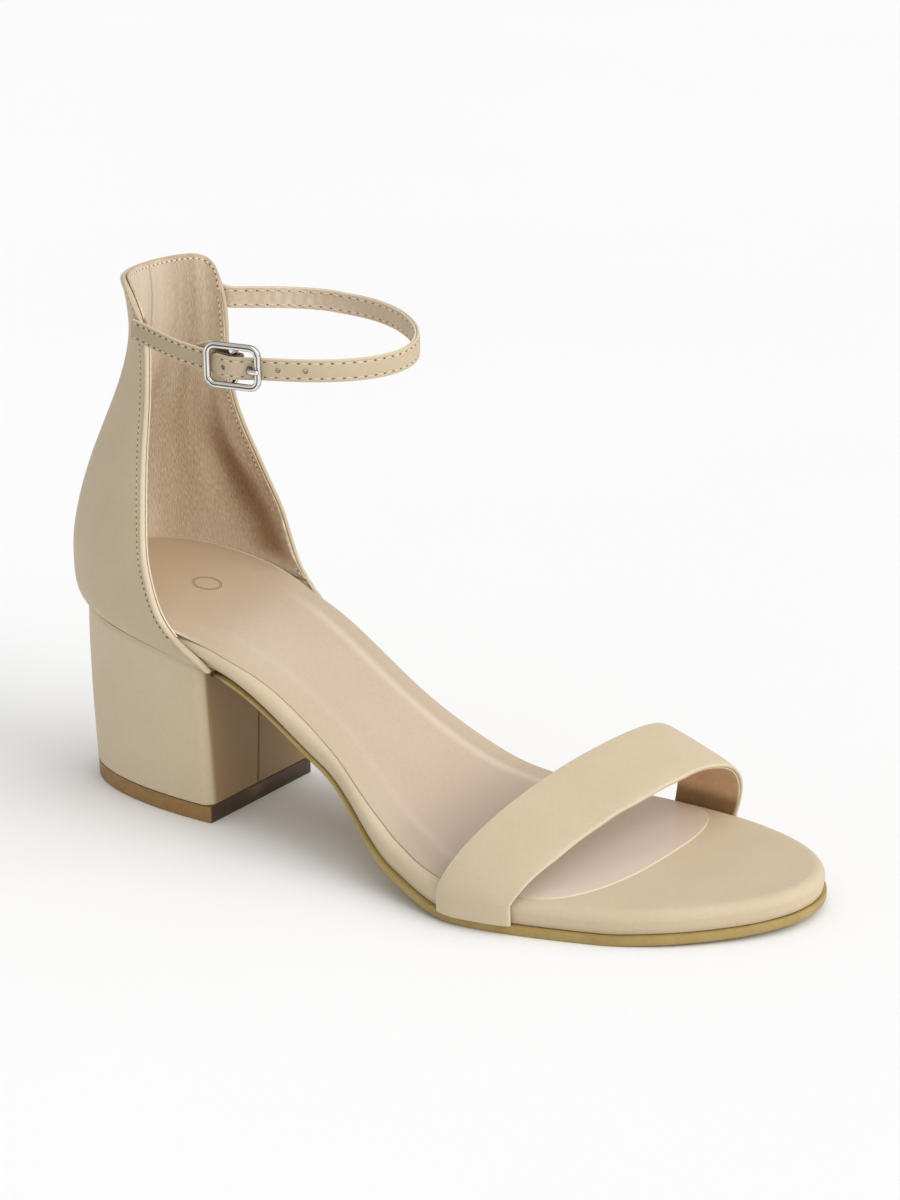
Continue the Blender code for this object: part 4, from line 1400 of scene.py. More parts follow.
@dataclass
class Sock:
    """Padded sock that fills the heel seat and ends in a blunt front under the toe strap."""

    last: Last
    counter: Counter
    rooms: tuple[EdgeRoom, ...] = (
        EdgeRoom(1.8, 1.3), EdgeRoom(95, 1.3), EdgeRoom(125, 2.4), EdgeRoom(150, 3.2), EdgeRoom(190, 3.4))
    outer_rooms: tuple[EdgeRoom, ...] = (
        EdgeRoom(1.8, 0), EdgeRoom(62, 0), EdgeRoom(80, 1.9), EdgeRoom(90, 1.4), EdgeRoom(97, 0.5),
        EdgeRoom(105, 0.4), EdgeRoom(112, 0.8), EdgeRoom(119, 1.3), EdgeRoom(126, 0.7), EdgeRoom(134, 0),
        EdgeRoom(190, 0))
    back: float = 1.6
    front: float = 182.5
    front_round: float = 15.0
    front_fullness: float = 2.6
    tip_side: float = 7.0
    seat_end: Pair = (38.0, 60.0)
    seat_room: float = 0.1
    edge_thick: float = 0.4
    edge_profile: tuple[Pair, ...] = ((0.0, 0.5), (0.05, 0.8), (0.2, 1.0))
    pad_high: float = 1.1
    pad_edge: Pair = (3.0, 8.2)
    ridge_high: float = 0.18
    ridge_in: float = 8.6
    ridge_wide: float = 1.3
    # painted highlight along the ridge: its share, and its offset and width against the ridge
    ridge_highlight_share: float = 0.5
    ridge_highlight_place: Pair = (0.5, 1.2)
    brim_end: Pair = (-3.0, 0.5)
    outer_share: float = 0.3
    brim_share: float = 0.75
    brim_from: Pair = (45.0, 70.0)
    pad_from: Pair = (20.0, 60.0)
    pad_to: Pair = (138.0, 160.0)
    pale_from: Pair = (150.0, 165.0)
    # painted shade in the heel seat: where it fades out, and its share
    seat_tone: Pair = (20.0, 75.0)
    seat_share: float = 0.85
    # painted shadow of the toe strap: its middle and width along X, and its share
    tread: Pair = (138.0, 17.0)
    strap_shadow_share: float = 0.75
    # painted light at the toe under the strap: where it fades in, and its share
    toe_from: Pair = (156.0, 172.0)
    toe_share: float = 0.65
    footbed_roll: float = 3.0
    sunk: float = 0.1
    stations: int = 180
    crowding: float = 0.75
    under_steps: int = 4
    across_steps: int = 34
    across_crowding: float = 1.3
    ring_place: Pair = (36.5, 1.3)
    ring_radii: tuple[float, ...] = (4.1, 3.55)
    ring_wire: float = 0.2
    ring_high: float = 0.07
    ring_steps: int = 73
    ring_sides: int = 7

    def edge(self) -> Points:
        """Plan outline of the sock.

        Returns:
            The outline.
        """
        x = spread(self.back, self.front, self.stations, self.crowding)
        top = self.last.read("top", x)
        seat = self.counter.inner_half(x, top + self.edge_thick, self.counter.wall + self.seat_room)
        seat[0] = 0.0
        sole = self.last.half(x) - column(self.rooms, "room", x)
        share = ease(x, *self.seat_end)
        past = np.clip((x - self.front + self.front_round) / self.front_round, 0, 1)
        half = (seat + (sole - seat) * share) * (1 - past**self.front_fullness) ** (1 / self.front_fullness)
        middle = self.last.read("centre", x)
        draw = column(self.outer_rooms, "room", x) / 2
        return outline(x, half - draw, middle + draw + (self.tip_side - middle) * past**2)

    def base(self, points: Points, far: Points | float) -> Points:
        """Height of the footbed under the sock, which its edge follows down the rolled rim.

        Args:
            points: plan points.
            far: their distance inside the sock's edge.

        Returns:
            The heights.
        """
        x = points[..., 0]
        outer = points[..., 1] < self.last.read("centre", x)
        room = column(self.rooms, "room", x) + outer * column(self.outer_rooms, "room", x)
        inside = np.clip((room + far) / self.footbed_roll, 0, 1)
        drop = self.footbed_roll * (1 - np.sqrt(1 - (1 - inside) ** 2))
        return self.last.read("top", x) - drop * ease(x, *self.seat_end)

    def height(self, points: Points, edge: Points) -> Points:
        """Height of the sock's face, with its padded middle.

        Args:
            points: plan points.
            edge: the sock's outline.

        Returns:
            The heights.
        """
        far = edge_distance(points, edge)
        x = points[..., 0]
        pad = self.pad_high * ease(far, *self.pad_edge)
        ridge = self.ridge_high * bell(far, self.ridge_in, self.ridge_wide)
        padding = (pad + ridge) * ease(x, *self.pad_from) * (1 - ease(x, *self.pad_to))
        return self.base(points, far) + self.edge_thick + padding

    def build(self, bench: Bench) -> None:
        """Build the sock and the ring stamped on its seat.

        Args:
            bench: where finished pieces go.
        """
        edge = self.edge()
        middle = (edge[:, 1] + edge[::-1, 1]) / 2
        base = self.base(edge, 0.0)
        under = self.under_steps
        loops = [lifted(drawn_in(edge, middle, share), base - self.sunk)
                 for share in np.linspace(1, 0, under)]
        for draw, rise in self.edge_profile:
            rim = inset(edge, draw)
            loops.append(lifted(rim, base + self.edge_thick * rise))
        for share in np.linspace(0, 1, self.across_steps + 1)[1:] ** self.across_crowding:
            loop = drawn_in(rim, middle, share)
            loops.append(lifted(loop, self.height(loop, edge)))
        points = round_trip(loops)
        x = points[..., 0]
        row = np.arange(len(points))[:, None]
        front = ease(x, *self.pale_from)
        far = edge_distance(points, edge)
        inner = np.where(points[..., 1] > self.last.read("centre", x), 1.0, self.outer_share)
        beyond = inner * ease(x, *self.brim_from) * (1 - ease(x, *self.pad_to))
        on_rim = (row > under) * (row <= under + len(self.edge_profile))
        brim = 1 - ease(far, *(self.ridge_in + np.array(self.brim_end)))
        # Painted highlight along the padding's ridge.
        tone_in, tone_wide = self.ridge_highlight_place
        ridge = bell(far, self.ridge_in + tone_in, self.ridge_wide * tone_wide)
        # Painted shade along the foot of the sock's edge, except at the front.
        masks = {"rim_dark": (row < under) * (1 - front),
                 "rim_pale": (row == under) * front + on_rim * (1 - ease(x, *self.seat_end)),
                 # Painted shade in the heel seat.
                 "seat": self.seat_share * (1 - ease(x, *self.seat_tone)),
                 # Painted shadow of the toe strap, behind it.
                 "tread": self.strap_shadow_share * bell(x, *self.tread),
                 # Painted light at the toe, under the strap.
                 "toe": self.toe_share * ease(x, *self.toe_from),
                 "brim": self.brim_share * beyond * brim,
                 "ridge": self.ridge_highlight_share * beyond * ridge}
        bench.add("sock_lining", draped_grid(points, masks), [SOCK], Slot.SOCK, ["sock"])
        self.add_ring(bench, edge)

    def add_ring(self, bench: Bench, edge: Points) -> None:
        """Two thin rings stamped into the seat.

        Args:
            bench: where finished pieces go.
            edge: the sock's outline.
        """
        bm = None
        turn = np.linspace(0, 2 * math.pi, self.ring_steps)
        around = np.linspace(0, 2 * math.pi, self.ring_sides)
        for radius in self.ring_radii:
            wire = radius + self.ring_wire / 2 * np.cos(around)
            x = self.ring_place[0] + wire[None, :] * np.cos(turn)[:, None]
            y = self.ring_place[1] + wire[None, :] * np.sin(turn)[:, None]
            flat = np.stack([x, y], axis=-1)
            z = self.height(flat, edge) + self.ring_high * np.sin(around)[None, :]
            bm = draped_grid(np.concatenate([flat, z[..., None]], axis=-1), None, bm)
        bench.add("seat_ring", bm, [PRINT], Slot.SOCK)


class StrapEdge(NamedTuple):
    """One edge of the toe strap, an arch from the outer to the inner side of the foot."""

    outer_x: float
    inner_x: float
    height: float
    outer_full: float
    inner_full: float
    crest: float
    bow: float


@dataclass
class ToeStrap:
    """Broad strap over the toes, with its lining."""

    last: Last
    rear: StrapEdge = StrapEdge(143.9, 162.0, 27.0, 1.75, 2.6, 0.77, 4.7)
    front: StrapEdge = StrapEdge(165.1, 181.8, 20.9, 1.65, 2.3, 0.71, 6.8)
    thick: float = 1.5
    gap: float = 0.3
    leg_drop: float = 1.0
    columns: int = 150
    leg_steps: int = 5
    rows: int = 40
    breadth: float = 21.0
    edge_steps: int = 8
    cover_thick: float = 0.95
    lining_thick: float = 0.5
    lining_in: float = 0.4
    crown: float = 0.35
    crown_power: int = 4
    edge_wave: float = 0.16
    wave_reach: float = 0.06
    waves: tuple[Triple, ...] = ((1.0, 5.1, 0.0), (0.6, 2.3, 1.0))
    edge_worn: float = 0.7
    shade_levels: Pair = (10.4, 15.0)

    def arch(self, edge: StrapEdge) -> Points:
        """One line across the strap: two legs, and two quarter superellipses that meet at the crest.

        Args:
            edge: the line's shape.

        Returns:
            Points from the outer foot to the inner one.
        """
        room = self.gap + self.thick
        ends, feet = [], []
        for x, side in ((edge.outer_x, Side.OUTER), (edge.inner_x, Side.INNER)):
            y = self.last.read("centre", x) + side.value * (self.last.half(x) + room)
            ends.append(np.array([x, y, self.last.read("top", x) - self.leg_drop]))
            feet.append(np.array([x, y, self.last.read("under", x)]))
        across = np.cos(np.linspace(math.pi, 0, self.columns))
        outer = across < 0
        power = np.where(outer, 2 / edge.outer_full, 2 / edge.inner_full)
        reach = np.abs(across) ** power
        share = np.where(outer, edge.crest * (1 - reach), edge.crest + (1 - edge.crest) * reach)
        rise = np.sqrt(np.maximum(1 - across**2, 0)) ** power
        points = ends[0] + (ends[1] - ends[0]) * share[:, None]
        points[:, 2] += edge.height * rise
        points[:, 0] += edge.bow * rise
        legs = [np.linspace(foot, end, self.leg_steps)[:-1] for foot, end in zip(feet, ends)]
        return np.vstack([legs[0], points, legs[1][::-1]])

    def line(self, share: float) -> Points:
        """Line across the outer face at a share of the strap's breadth."""
        mixed = (rear + (front - rear) * share for rear, front in zip(self.rear, self.front))
        return self.arch(StrapEdge(*mixed))

    def normal(self, share: float) -> Points:
        """Outward normals along that line."""
        forward = self.line(share + NUDGE) - self.line(share - NUDGE)
        return unit(np.cross(forward, np.gradient(self.line(share), axis=0)))

    def layer(self, edge_in: float, high: float, low: float, crown: float) -> BMesh:
        """Closed layer with rounded front and rear edges.

        Args:
            edge_in: distance of its edges inside the strap's edges.
            high: outer depth of the layer.
            low: inner depth of the layer.
            crown: how far its middle stands out.

        Returns:
            The layer.
        """
        radius = (high - low) / 2
        start = (edge_in + radius) / self.breadth
        turn = np.linspace(0, math.pi, self.edge_steps)
        shares = np.linspace(start, 1 - start, self.rows)
        faces = [[(share, high + crown * (1 - (2 * share - 1) ** self.crown_power)) for share in shares],
                 [(share, low) for share in shares]]
        brow = crown * (1 - (1 - 2 * start) ** self.crown_power)
        roll = [(radius / self.breadth * math.sin(angle), (high + low) / 2 + radius * math.cos(angle)
                 + brow * (1 + math.cos(angle)) / 2) for angle in turn]
        edges = [[(1 - start + reach, depth) for reach, depth in roll],
                 [(start - reach, depth) for reach, depth in roll]]
        bm = None
        for strip in faces + edges:
            rows = np.stack([self.line(share) + self.normal(share) * depth for share, depth in strip])
            run = run_length(rows, 1)
            front = bell(np.array([share for share, _ in strip])[:, None], 1, self.wave_reach)
            wave = sum(part * np.sin(run / length + phase) for part, length, phase in self.waves)
            rows[..., 2] += self.edge_wave * wave * front
            worn = np.full(run.shape, self.edge_worn * (strip in edges))
            shade = 1 - ease(rows[..., 2], *self.shade_levels)
            bm = draped_grid(rows, {"worn": worn, "shade": shade}, bm)
        close_ends(bm)
        return bm

    def build(self, bench: Bench) -> None:
        """Build the strap's cover and lining.

        Args:
            bench: where finished pieces go.
        """
        cover = self.layer(0.0, 0.0, -self.cover_thick, self.crown)
        bench.add("toe_strap_cover", cover, [COVER], Slot.COVER, ["toe_strap"])
        lining = self.layer(self.lining_in, self.lining_thick - self.thick, -self.thick, 0.0)
        bench.add("toe_strap_lining", lining, [TOE_LINING], Slot.SOCK)


class Weave(NamedTuple):
    """Place along the strap from the buckle's middle, and distance out from the strap's line."""

    along: float
    out: float


@dataclass
class StrapRoute:
    """Middle line of the ankle strap, measured along it from the buckle's middle."""

    counter: Counter
    wide: float = 5.9
    thick: float = 1.4
    gap: float = 0.3
    ease_out: float = 0.4
    oval_middle: float = 61.7
    oval_front: float = 101.0
    oval_half: float = 30.5
    oval_side: float = 5.9
    outer_seam_z: float = 135.8
    outer_middle_z: float = 131.7
    front_z: float = 130.3
    inner_middle_z: float = 133.8
    inner_seam_z: float = 137.4
    outer_seam_start: float = 0.86
    inner_seam_start: float = 0.68
    seam_steps: int = 15
    join_steps: int = 15
    oval_steps: int = 120
    reach: float = 1.5
    buckle_x: float = 70.5
    edge_worn: float = 0.8
    face_steps: int = 25
    edge_steps: int = 8
    crown: float = 0.08
    dip_line: Pair = (0.45, 0.35)
    seam_in: float = 1.0

    def __post_init__(self) -> None:
        """Work out the line and the places along it."""
        stand_off = self.gap + self.ease_out + self.thick / 2
        outer_sewn = -np.linspace(self.outer_seam_start, 1, self.seam_steps)
        inner_sewn = np.linspace(1, self.inner_seam_start, self.seam_steps)
        counter = self.counter
        outer_seam = counter.point(outer_sewn, float(counter.level_at(self.outer_seam_z)), stand_off)
        inner_seam = counter.point(inner_sewn, float(counter.level_at(self.inner_seam_z)), stand_off)
        turn = np.linspace(-math.pi / 2, math.pi / 2, self.oval_steps + 1)
        side = np.sin(turn)
        middle = np.where(side < 0, self.outer_middle_z, self.inner_middle_z)
        oval = np.stack([self.oval_middle + (self.oval_front - self.oval_middle) * np.cos(turn),
                         self.oval_side + self.oval_half * side,
                         self.front_z + (middle - self.front_z) * side**2], axis=1)
        outer_join = self.join(outer_seam[-1], oval[0])
        inner_join = self.join(inner_seam[0], oval[-1])[::-1]
        self.points = np.vstack([outer_seam, outer_join, oval, inner_join, inner_seam])
        place = run_length(self.points, 0)
        start = len(outer_seam) + len(outer_join)
        outer_half = slice(start, start + self.oval_steps // 2)
        self.place = place - np.interp(self.buckle_x, self.points[outer_half, 0], place[outer_half])

    def join(self, start: Points, end: Points) -> Points:
        """Free stretch that leaves the counter and swings out to the oval's side.

        Args:
            start: end of the sewn stretch.
            end: end of the oval.

        Returns:
            The points between them.
        """
        t = np.linspace(0, 1, self.join_steps)[1:-1, None]
        points = start + (end - start) * t
        points[:, 1:2] = start[1] + (end[1] - start[1]) * np.sin(t * math.pi / 2)
        return points

    def point(self, along: Points) -> Points:
        """Points of the line at places along it."""
        return np.stack([np.interp(along, self.place, axis) for axis in self.points.T], axis=-1)

    def frame(self, along: Points) -> tuple[Points, Points, Points, Points]:
        """Point, direction, outward side and up direction at places along the strap.

        Args:
            along: places along the route.

        Returns:
            All four, a row for each place.
        """
        along = np.asarray(along, float)
        before, after = self.point(along - self.reach), self.point(along + self.reach)
        middle = (before + 2 * self.point(along) + after) / 4
        ahead = unit(after - before)
        out = unit(np.stack([ahead[..., 1], -ahead[..., 0], np.zeros(along.shape)], axis=-1))
        return middle, ahead, out, np.cross(out, ahead)

    def stance(self, along: float) -> Matrix:
        """Matrix that sets a piece on the line: X ahead, Y inwards and Z up."""
        middle, ahead, out, up = (Vector(value) for value in self.frame(along))
        return Matrix.Translation(middle) @ Matrix((ahead, -out, up)).transposed().to_4x4()

    def lines(self, along: Points, out: Points) -> tuple[Points, Points, Points]:
        """Middle, face normal and up direction of a strap that leaves the line by out.

        Args:
            along: places along the route.
            out: distances out from it.

        Returns:
            All three, a row for each place.
        """
        middle, ahead, side, up = self.frame(along)
        run, lean = np.gradient(along), np.gradient(out)
        face = (side * run[:, None] - ahead * lean[:, None]) / np.hypot(run, lean)[:, None]
        return middle + side * out[:, None], face, up

    def ribbon(self, along: Points, out: Points, low: float, high: float, taper: Points | float = 1.0,
               dip: float = 0.0, wave: Points | float = 0.0, lift: Points | float = 0.0,
               shade: Points | float = 0.0) -> BMesh:
        """One layer of a strap, with rounded edges and closed ends.

        Args:
            along: places along the route.
            out: distances out from it.
            low: inner depth of the layer.
            high: outer depth of the layer.
            taper: share of the strap's breadth, one or one for each place.
            dip: depth of the two stitch lines in the outer face.
            wave: extra depth for each place.
            lift: extra height for each place.
            shade: how dark the layer is in the fold, for each place.

        Returns:
            The closed layer.
        """
        middle, face, up = self.lines(along, out)
        radius = (high - low) / 2
        flat = self.wide / 2 - radius
        rise = np.linspace(-flat, flat, self.face_steps)
        turn = np.linspace(0, math.pi, self.edge_steps)[1:-1]
        dip_in, dip_wide = self.dip_line
        dips = dip * bell(np.abs(rise), flat - dip_in, dip_wide)
        outer = high + self.crown * (1 - (rise / flat) ** 2) - dips
        centre = (low + high) / 2
        bend, edge = radius * np.cos(turn), radius * np.sin(turn)
        depth = np.concatenate([outer, centre + bend, np.full(len(rise), low), centre - bend])
        height = np.concatenate([rise, flat + edge, rise[::-1], -flat - edge])
        taper, wave, lift, shade = (np.broadcast_to(value, len(along))[:, None]
                                    for value in (taper, wave, lift, shade))
        depth = (depth + wave)[..., None]
        height = (height * taper + lift)[..., None]
        level = np.zeros(len(rise))
        edge = np.concatenate([level, np.sin(turn), level, np.sin(turn), [0.0]])
        worn = np.broadcast_to(edge * self.edge_worn, (len(along), len(edge)))
        points = round_trip(middle[:, None] + face[:, None] * depth + up[:, None] * height)
        dark = np.broadcast_to(shade, worn.shape)
        # The fold's painted shade goes to the dark seam tint and hides the pale edges there.
        bm = draped_grid(points, {"worn": worn * (1 - dark), "groove": dark})
        close_ends(bm)
        return bm

    def sew(self, seam: Seam, along: Points, out: Points, depth: float, inner: bool = False) -> None:
        """Sew both edges of a strap on its outer or inner face.

        Args:
            seam: takes the stitches.
            along: places along the route.
            out: distances out from it.
            depth: the face's distance from the middle.
            inner: whether it is the inner face.
        """
        middle, face, up = self.lines(along, out)
        face_side = -face if inner else face
        for side in Side:
            path = middle + face * depth + up * side.value * (self.wide / 2 - self.seam_in)
            seam.sew(path, face_side)


@dataclass
class AnkleStrap:
    """Holed strap from the inner side of the counter, through the buckle, to its tail."""

    route: StrapRoute
    weave: tuple[Weave, ...] = (
        Weave(-6.6, 0.75), Weave(-5.4, 0.95), Weave(-0.5, 2.25), Weave(7.2, 0.35), Weave(15.0, 0.0),
        Weave(200.0, 0.0))
    weave_end: float = 16.0
    through_steps: int = 70
    through_crowding: float = 1.2
    onward_steps: int = 190
    tip_round: float = 0.9
    tip_least: float = 0.25
    split: float = -0.08
    layer_gap: float = 0.03
    lining_share: float = 0.99
    crease_high: float = 0.15
    crease_rate: float = 2.1
    crease_from: Pair = (-45.0, -30.0)
    crease_to: Pair = (-14.0, -8.0)
    hole: float = 1.5
    lining_hole: float = 0.45
    hole_pitch: float = 7.0
    holes: tuple[int, ...] = (-1, 0, 1, 2)
    hole_sides: int = 20
    prong_hole: float = 4.55
    stitch_pitch: float = 2.9
    stitch_dip: float = 0.12
    stitch_sunk: float = 0.05
    stitch_skip: int = 6
    lining_needle: Pair = (0.45, 0.8)

    def path(self) -> tuple[Points, Points]:
        """Places along the route and distances out from it.

        Returns:
            The places and the distances.
        """
        tail = self.weave[0].along
        share = np.linspace(0, 1, self.through_steps) ** self.through_crowding
        through = tail + (self.weave_end - tail) * share
        onward = np.linspace(self.weave_end, self.route.place[-1], self.onward_steps)[1:]
        along = np.concatenate([through, onward])
        return along, column(self.weave, "out", along, "along")

    def punches(self, bench: Bench, diameter: float) -> bpy.types.Object:
        """Round cutters for the holes.

        Args:
            bench: where the helper goes.
            diameter: breadth of a hole.

        Returns:
            The helper.
        """
        bm = bmesh.new()
        for number in self.holes:
            stance = self.route.stance(self.prong_hole + number * self.hole_pitch)
            bmesh.ops.create_cone(bm, cap_ends=True, segments=self.hole_sides, radius1=diameter / 2,
                                  radius2=diameter / 2, depth=PUNCH_DEEP,
                                  matrix=stance @ Matrix.Rotation(math.pi / 2, 4, "X"))
        return bench.cutter(bm)

    def build(self, bench: Bench) -> None:
        """Build the strap's two layers and its stitches.

        Args:
            bench: where finished pieces go.
        """
        route = self.route
        along, out = self.path()
        half_thick = route.thick / 2
        tail = along - along[0]
        past = np.clip(1 - tail / self.tip_round, 0, 1)
        taper = np.maximum(np.sqrt(1 - past**2), self.tip_least)
        outer = route.ribbon(along, out, self.split, half_thick, taper, self.stitch_dip)
        cover = bench.add("ankle_strap_cover", outer, [SHADED_UPPER], Slot.COVER, ["ankle_strap_long"])
        bench.punch(cover, self.punches(bench, self.hole))
        start, stop = along[-1] + np.array((self.crease_from, self.crease_to))
        creases = (self.crease_high * np.sin(along * self.crease_rate)
                   * ease(along, *start) * (1 - ease(along, *stop)))
        inner = route.ribbon(along, out, -half_thick, self.split - self.layer_gap,
                             taper * self.lining_share, wave=creases)
        lining = bench.add("ankle_strap_lining", inner, [STRAP_LINING], Slot.SOCK)
        bench.punch(lining, self.punches(bench, self.lining_hole))
        seam = Seam(pitch=self.stitch_pitch)
        route.sew(seam, along[self.stitch_skip:], out[self.stitch_skip:], half_thick - self.stitch_sunk)
        seam.finish(bench, "ankle_strap", Slot.COVER)
        free = along > self.weave_end
        inner_seam = Seam(pitch=self.stitch_pitch, needle=self.lining_needle, yarn=PALE_THREAD)
        route.sew(inner_seam, along[free], out[free], -half_thick, inner=True)
        inner_seam.finish(bench, "ankle_strap_lining", Slot.SOCK)


@dataclass
class BuckleStrap:
    """Short strap from the outer side of the counter, folded back round the centre bar."""

    route: StrapRoute
    weave: tuple[Weave, ...] = (
        Weave(-80.0, 0.0), Weave(-22.0, 0.0), Weave(-7.0, -1.0), Weave(-0.5, 0.65))
    thick: float = 1.1
    gap: float = 0.3
    return_gap: float = 0.4
    bar: Weave = Weave(-0.5, -0.9)
    bar_wire: float = 1.4
    fold_end: float = -15.0
    forward_steps: int = 110
    fold_steps: int = 14
    return_steps: int = 36
    slot_long: float = 6.5
    slot_tall: float = 2.2
    stitch_pitch: float = 2.4
    stitch_dip: float = 0.1
    stitch_end: float = -9.0
    fold_shade: float = 0.9
    shade_from: Pair = (-9.0, -6.8)
    return_lift: float = 2.0
    lift_from: Pair = (1.0, 5.0)
    lift_to: Pair = (10.0, 15.5)

    def forward(self) -> tuple[Points, Points]:
        """Path from the sewn end to the bar."""
        along = np.linspace(self.route.place[0], self.bar.along, self.forward_steps)
        return along, column(self.weave, "out", along, "along")

    def path(self) -> tuple[Points, Points]:
        """Whole path: forward, round the bar and back behind itself.

        Returns:
            Places along the route and distances out from it.
        """
        along, out = self.forward()
        radius = self.bar_wire / 2 + self.gap + self.thick / 2
        top = self.weave[-1].out
        turn = np.linspace(math.pi / 2, -math.pi / 2, self.fold_steps)[1:]
        fold_along = self.bar.along + radius * np.cos(turn)
        fold_out = top - radius + radius * np.sin(turn)
        back = np.linspace(self.bar.along, self.fold_end, self.return_steps)[1:]
        level = column(self.weave, "out", back, "along") - self.thick - self.gap * self.return_gap
        return (np.concatenate([along, fold_along, back]),
                np.concatenate([out, fold_out, np.minimum(level, top - 2 * radius)]))

    def build(self, bench: Bench) -> None:
        """Build the strap, its slot for the prong and its stitches.

        Args:
            bench: where finished pieces go.
        """
        route = self.route
        half = self.thick / 2
        along, out = self.path()
        returned = np.arange(len(along)) >= self.forward_steps + self.fold_steps - 1
        rising = ease(-along, *self.lift_from) * (1 - ease(-along, *self.lift_to))
        lift = returned * self.return_lift * rising
        shade = self.fold_shade * ease(along, *self.shade_from)
        ribbon = route.ribbon(along, out, -half, half, dip=self.stitch_dip, lift=lift, shade=shade)
        strap = bench.add("buckle_strap_cover", ribbon, [SHADED_SHORT_STRAP], Slot.COVER, ["ankle_strap_short"])
        bm = bmesh.new()
        size = Matrix.Diagonal((self.slot_long, PUNCH_DEEP, self.slot_tall, 1.0))
        bmesh.ops.create_cube(bm, size=1.0, matrix=size)
        bmesh.ops.transform(bm, matrix=route.stance(0.0), verts=bm.verts)
        bench.punch(strap, bench.cutter(bm))
        along, out = self.forward()
        sewn = along < self.stitch_end
        seam = Seam(pitch=self.stitch_pitch)
        route.sew(seam, along[sewn], out[sewn], half)
        seam.finish(bench, "buckle_strap", Slot.COVER)


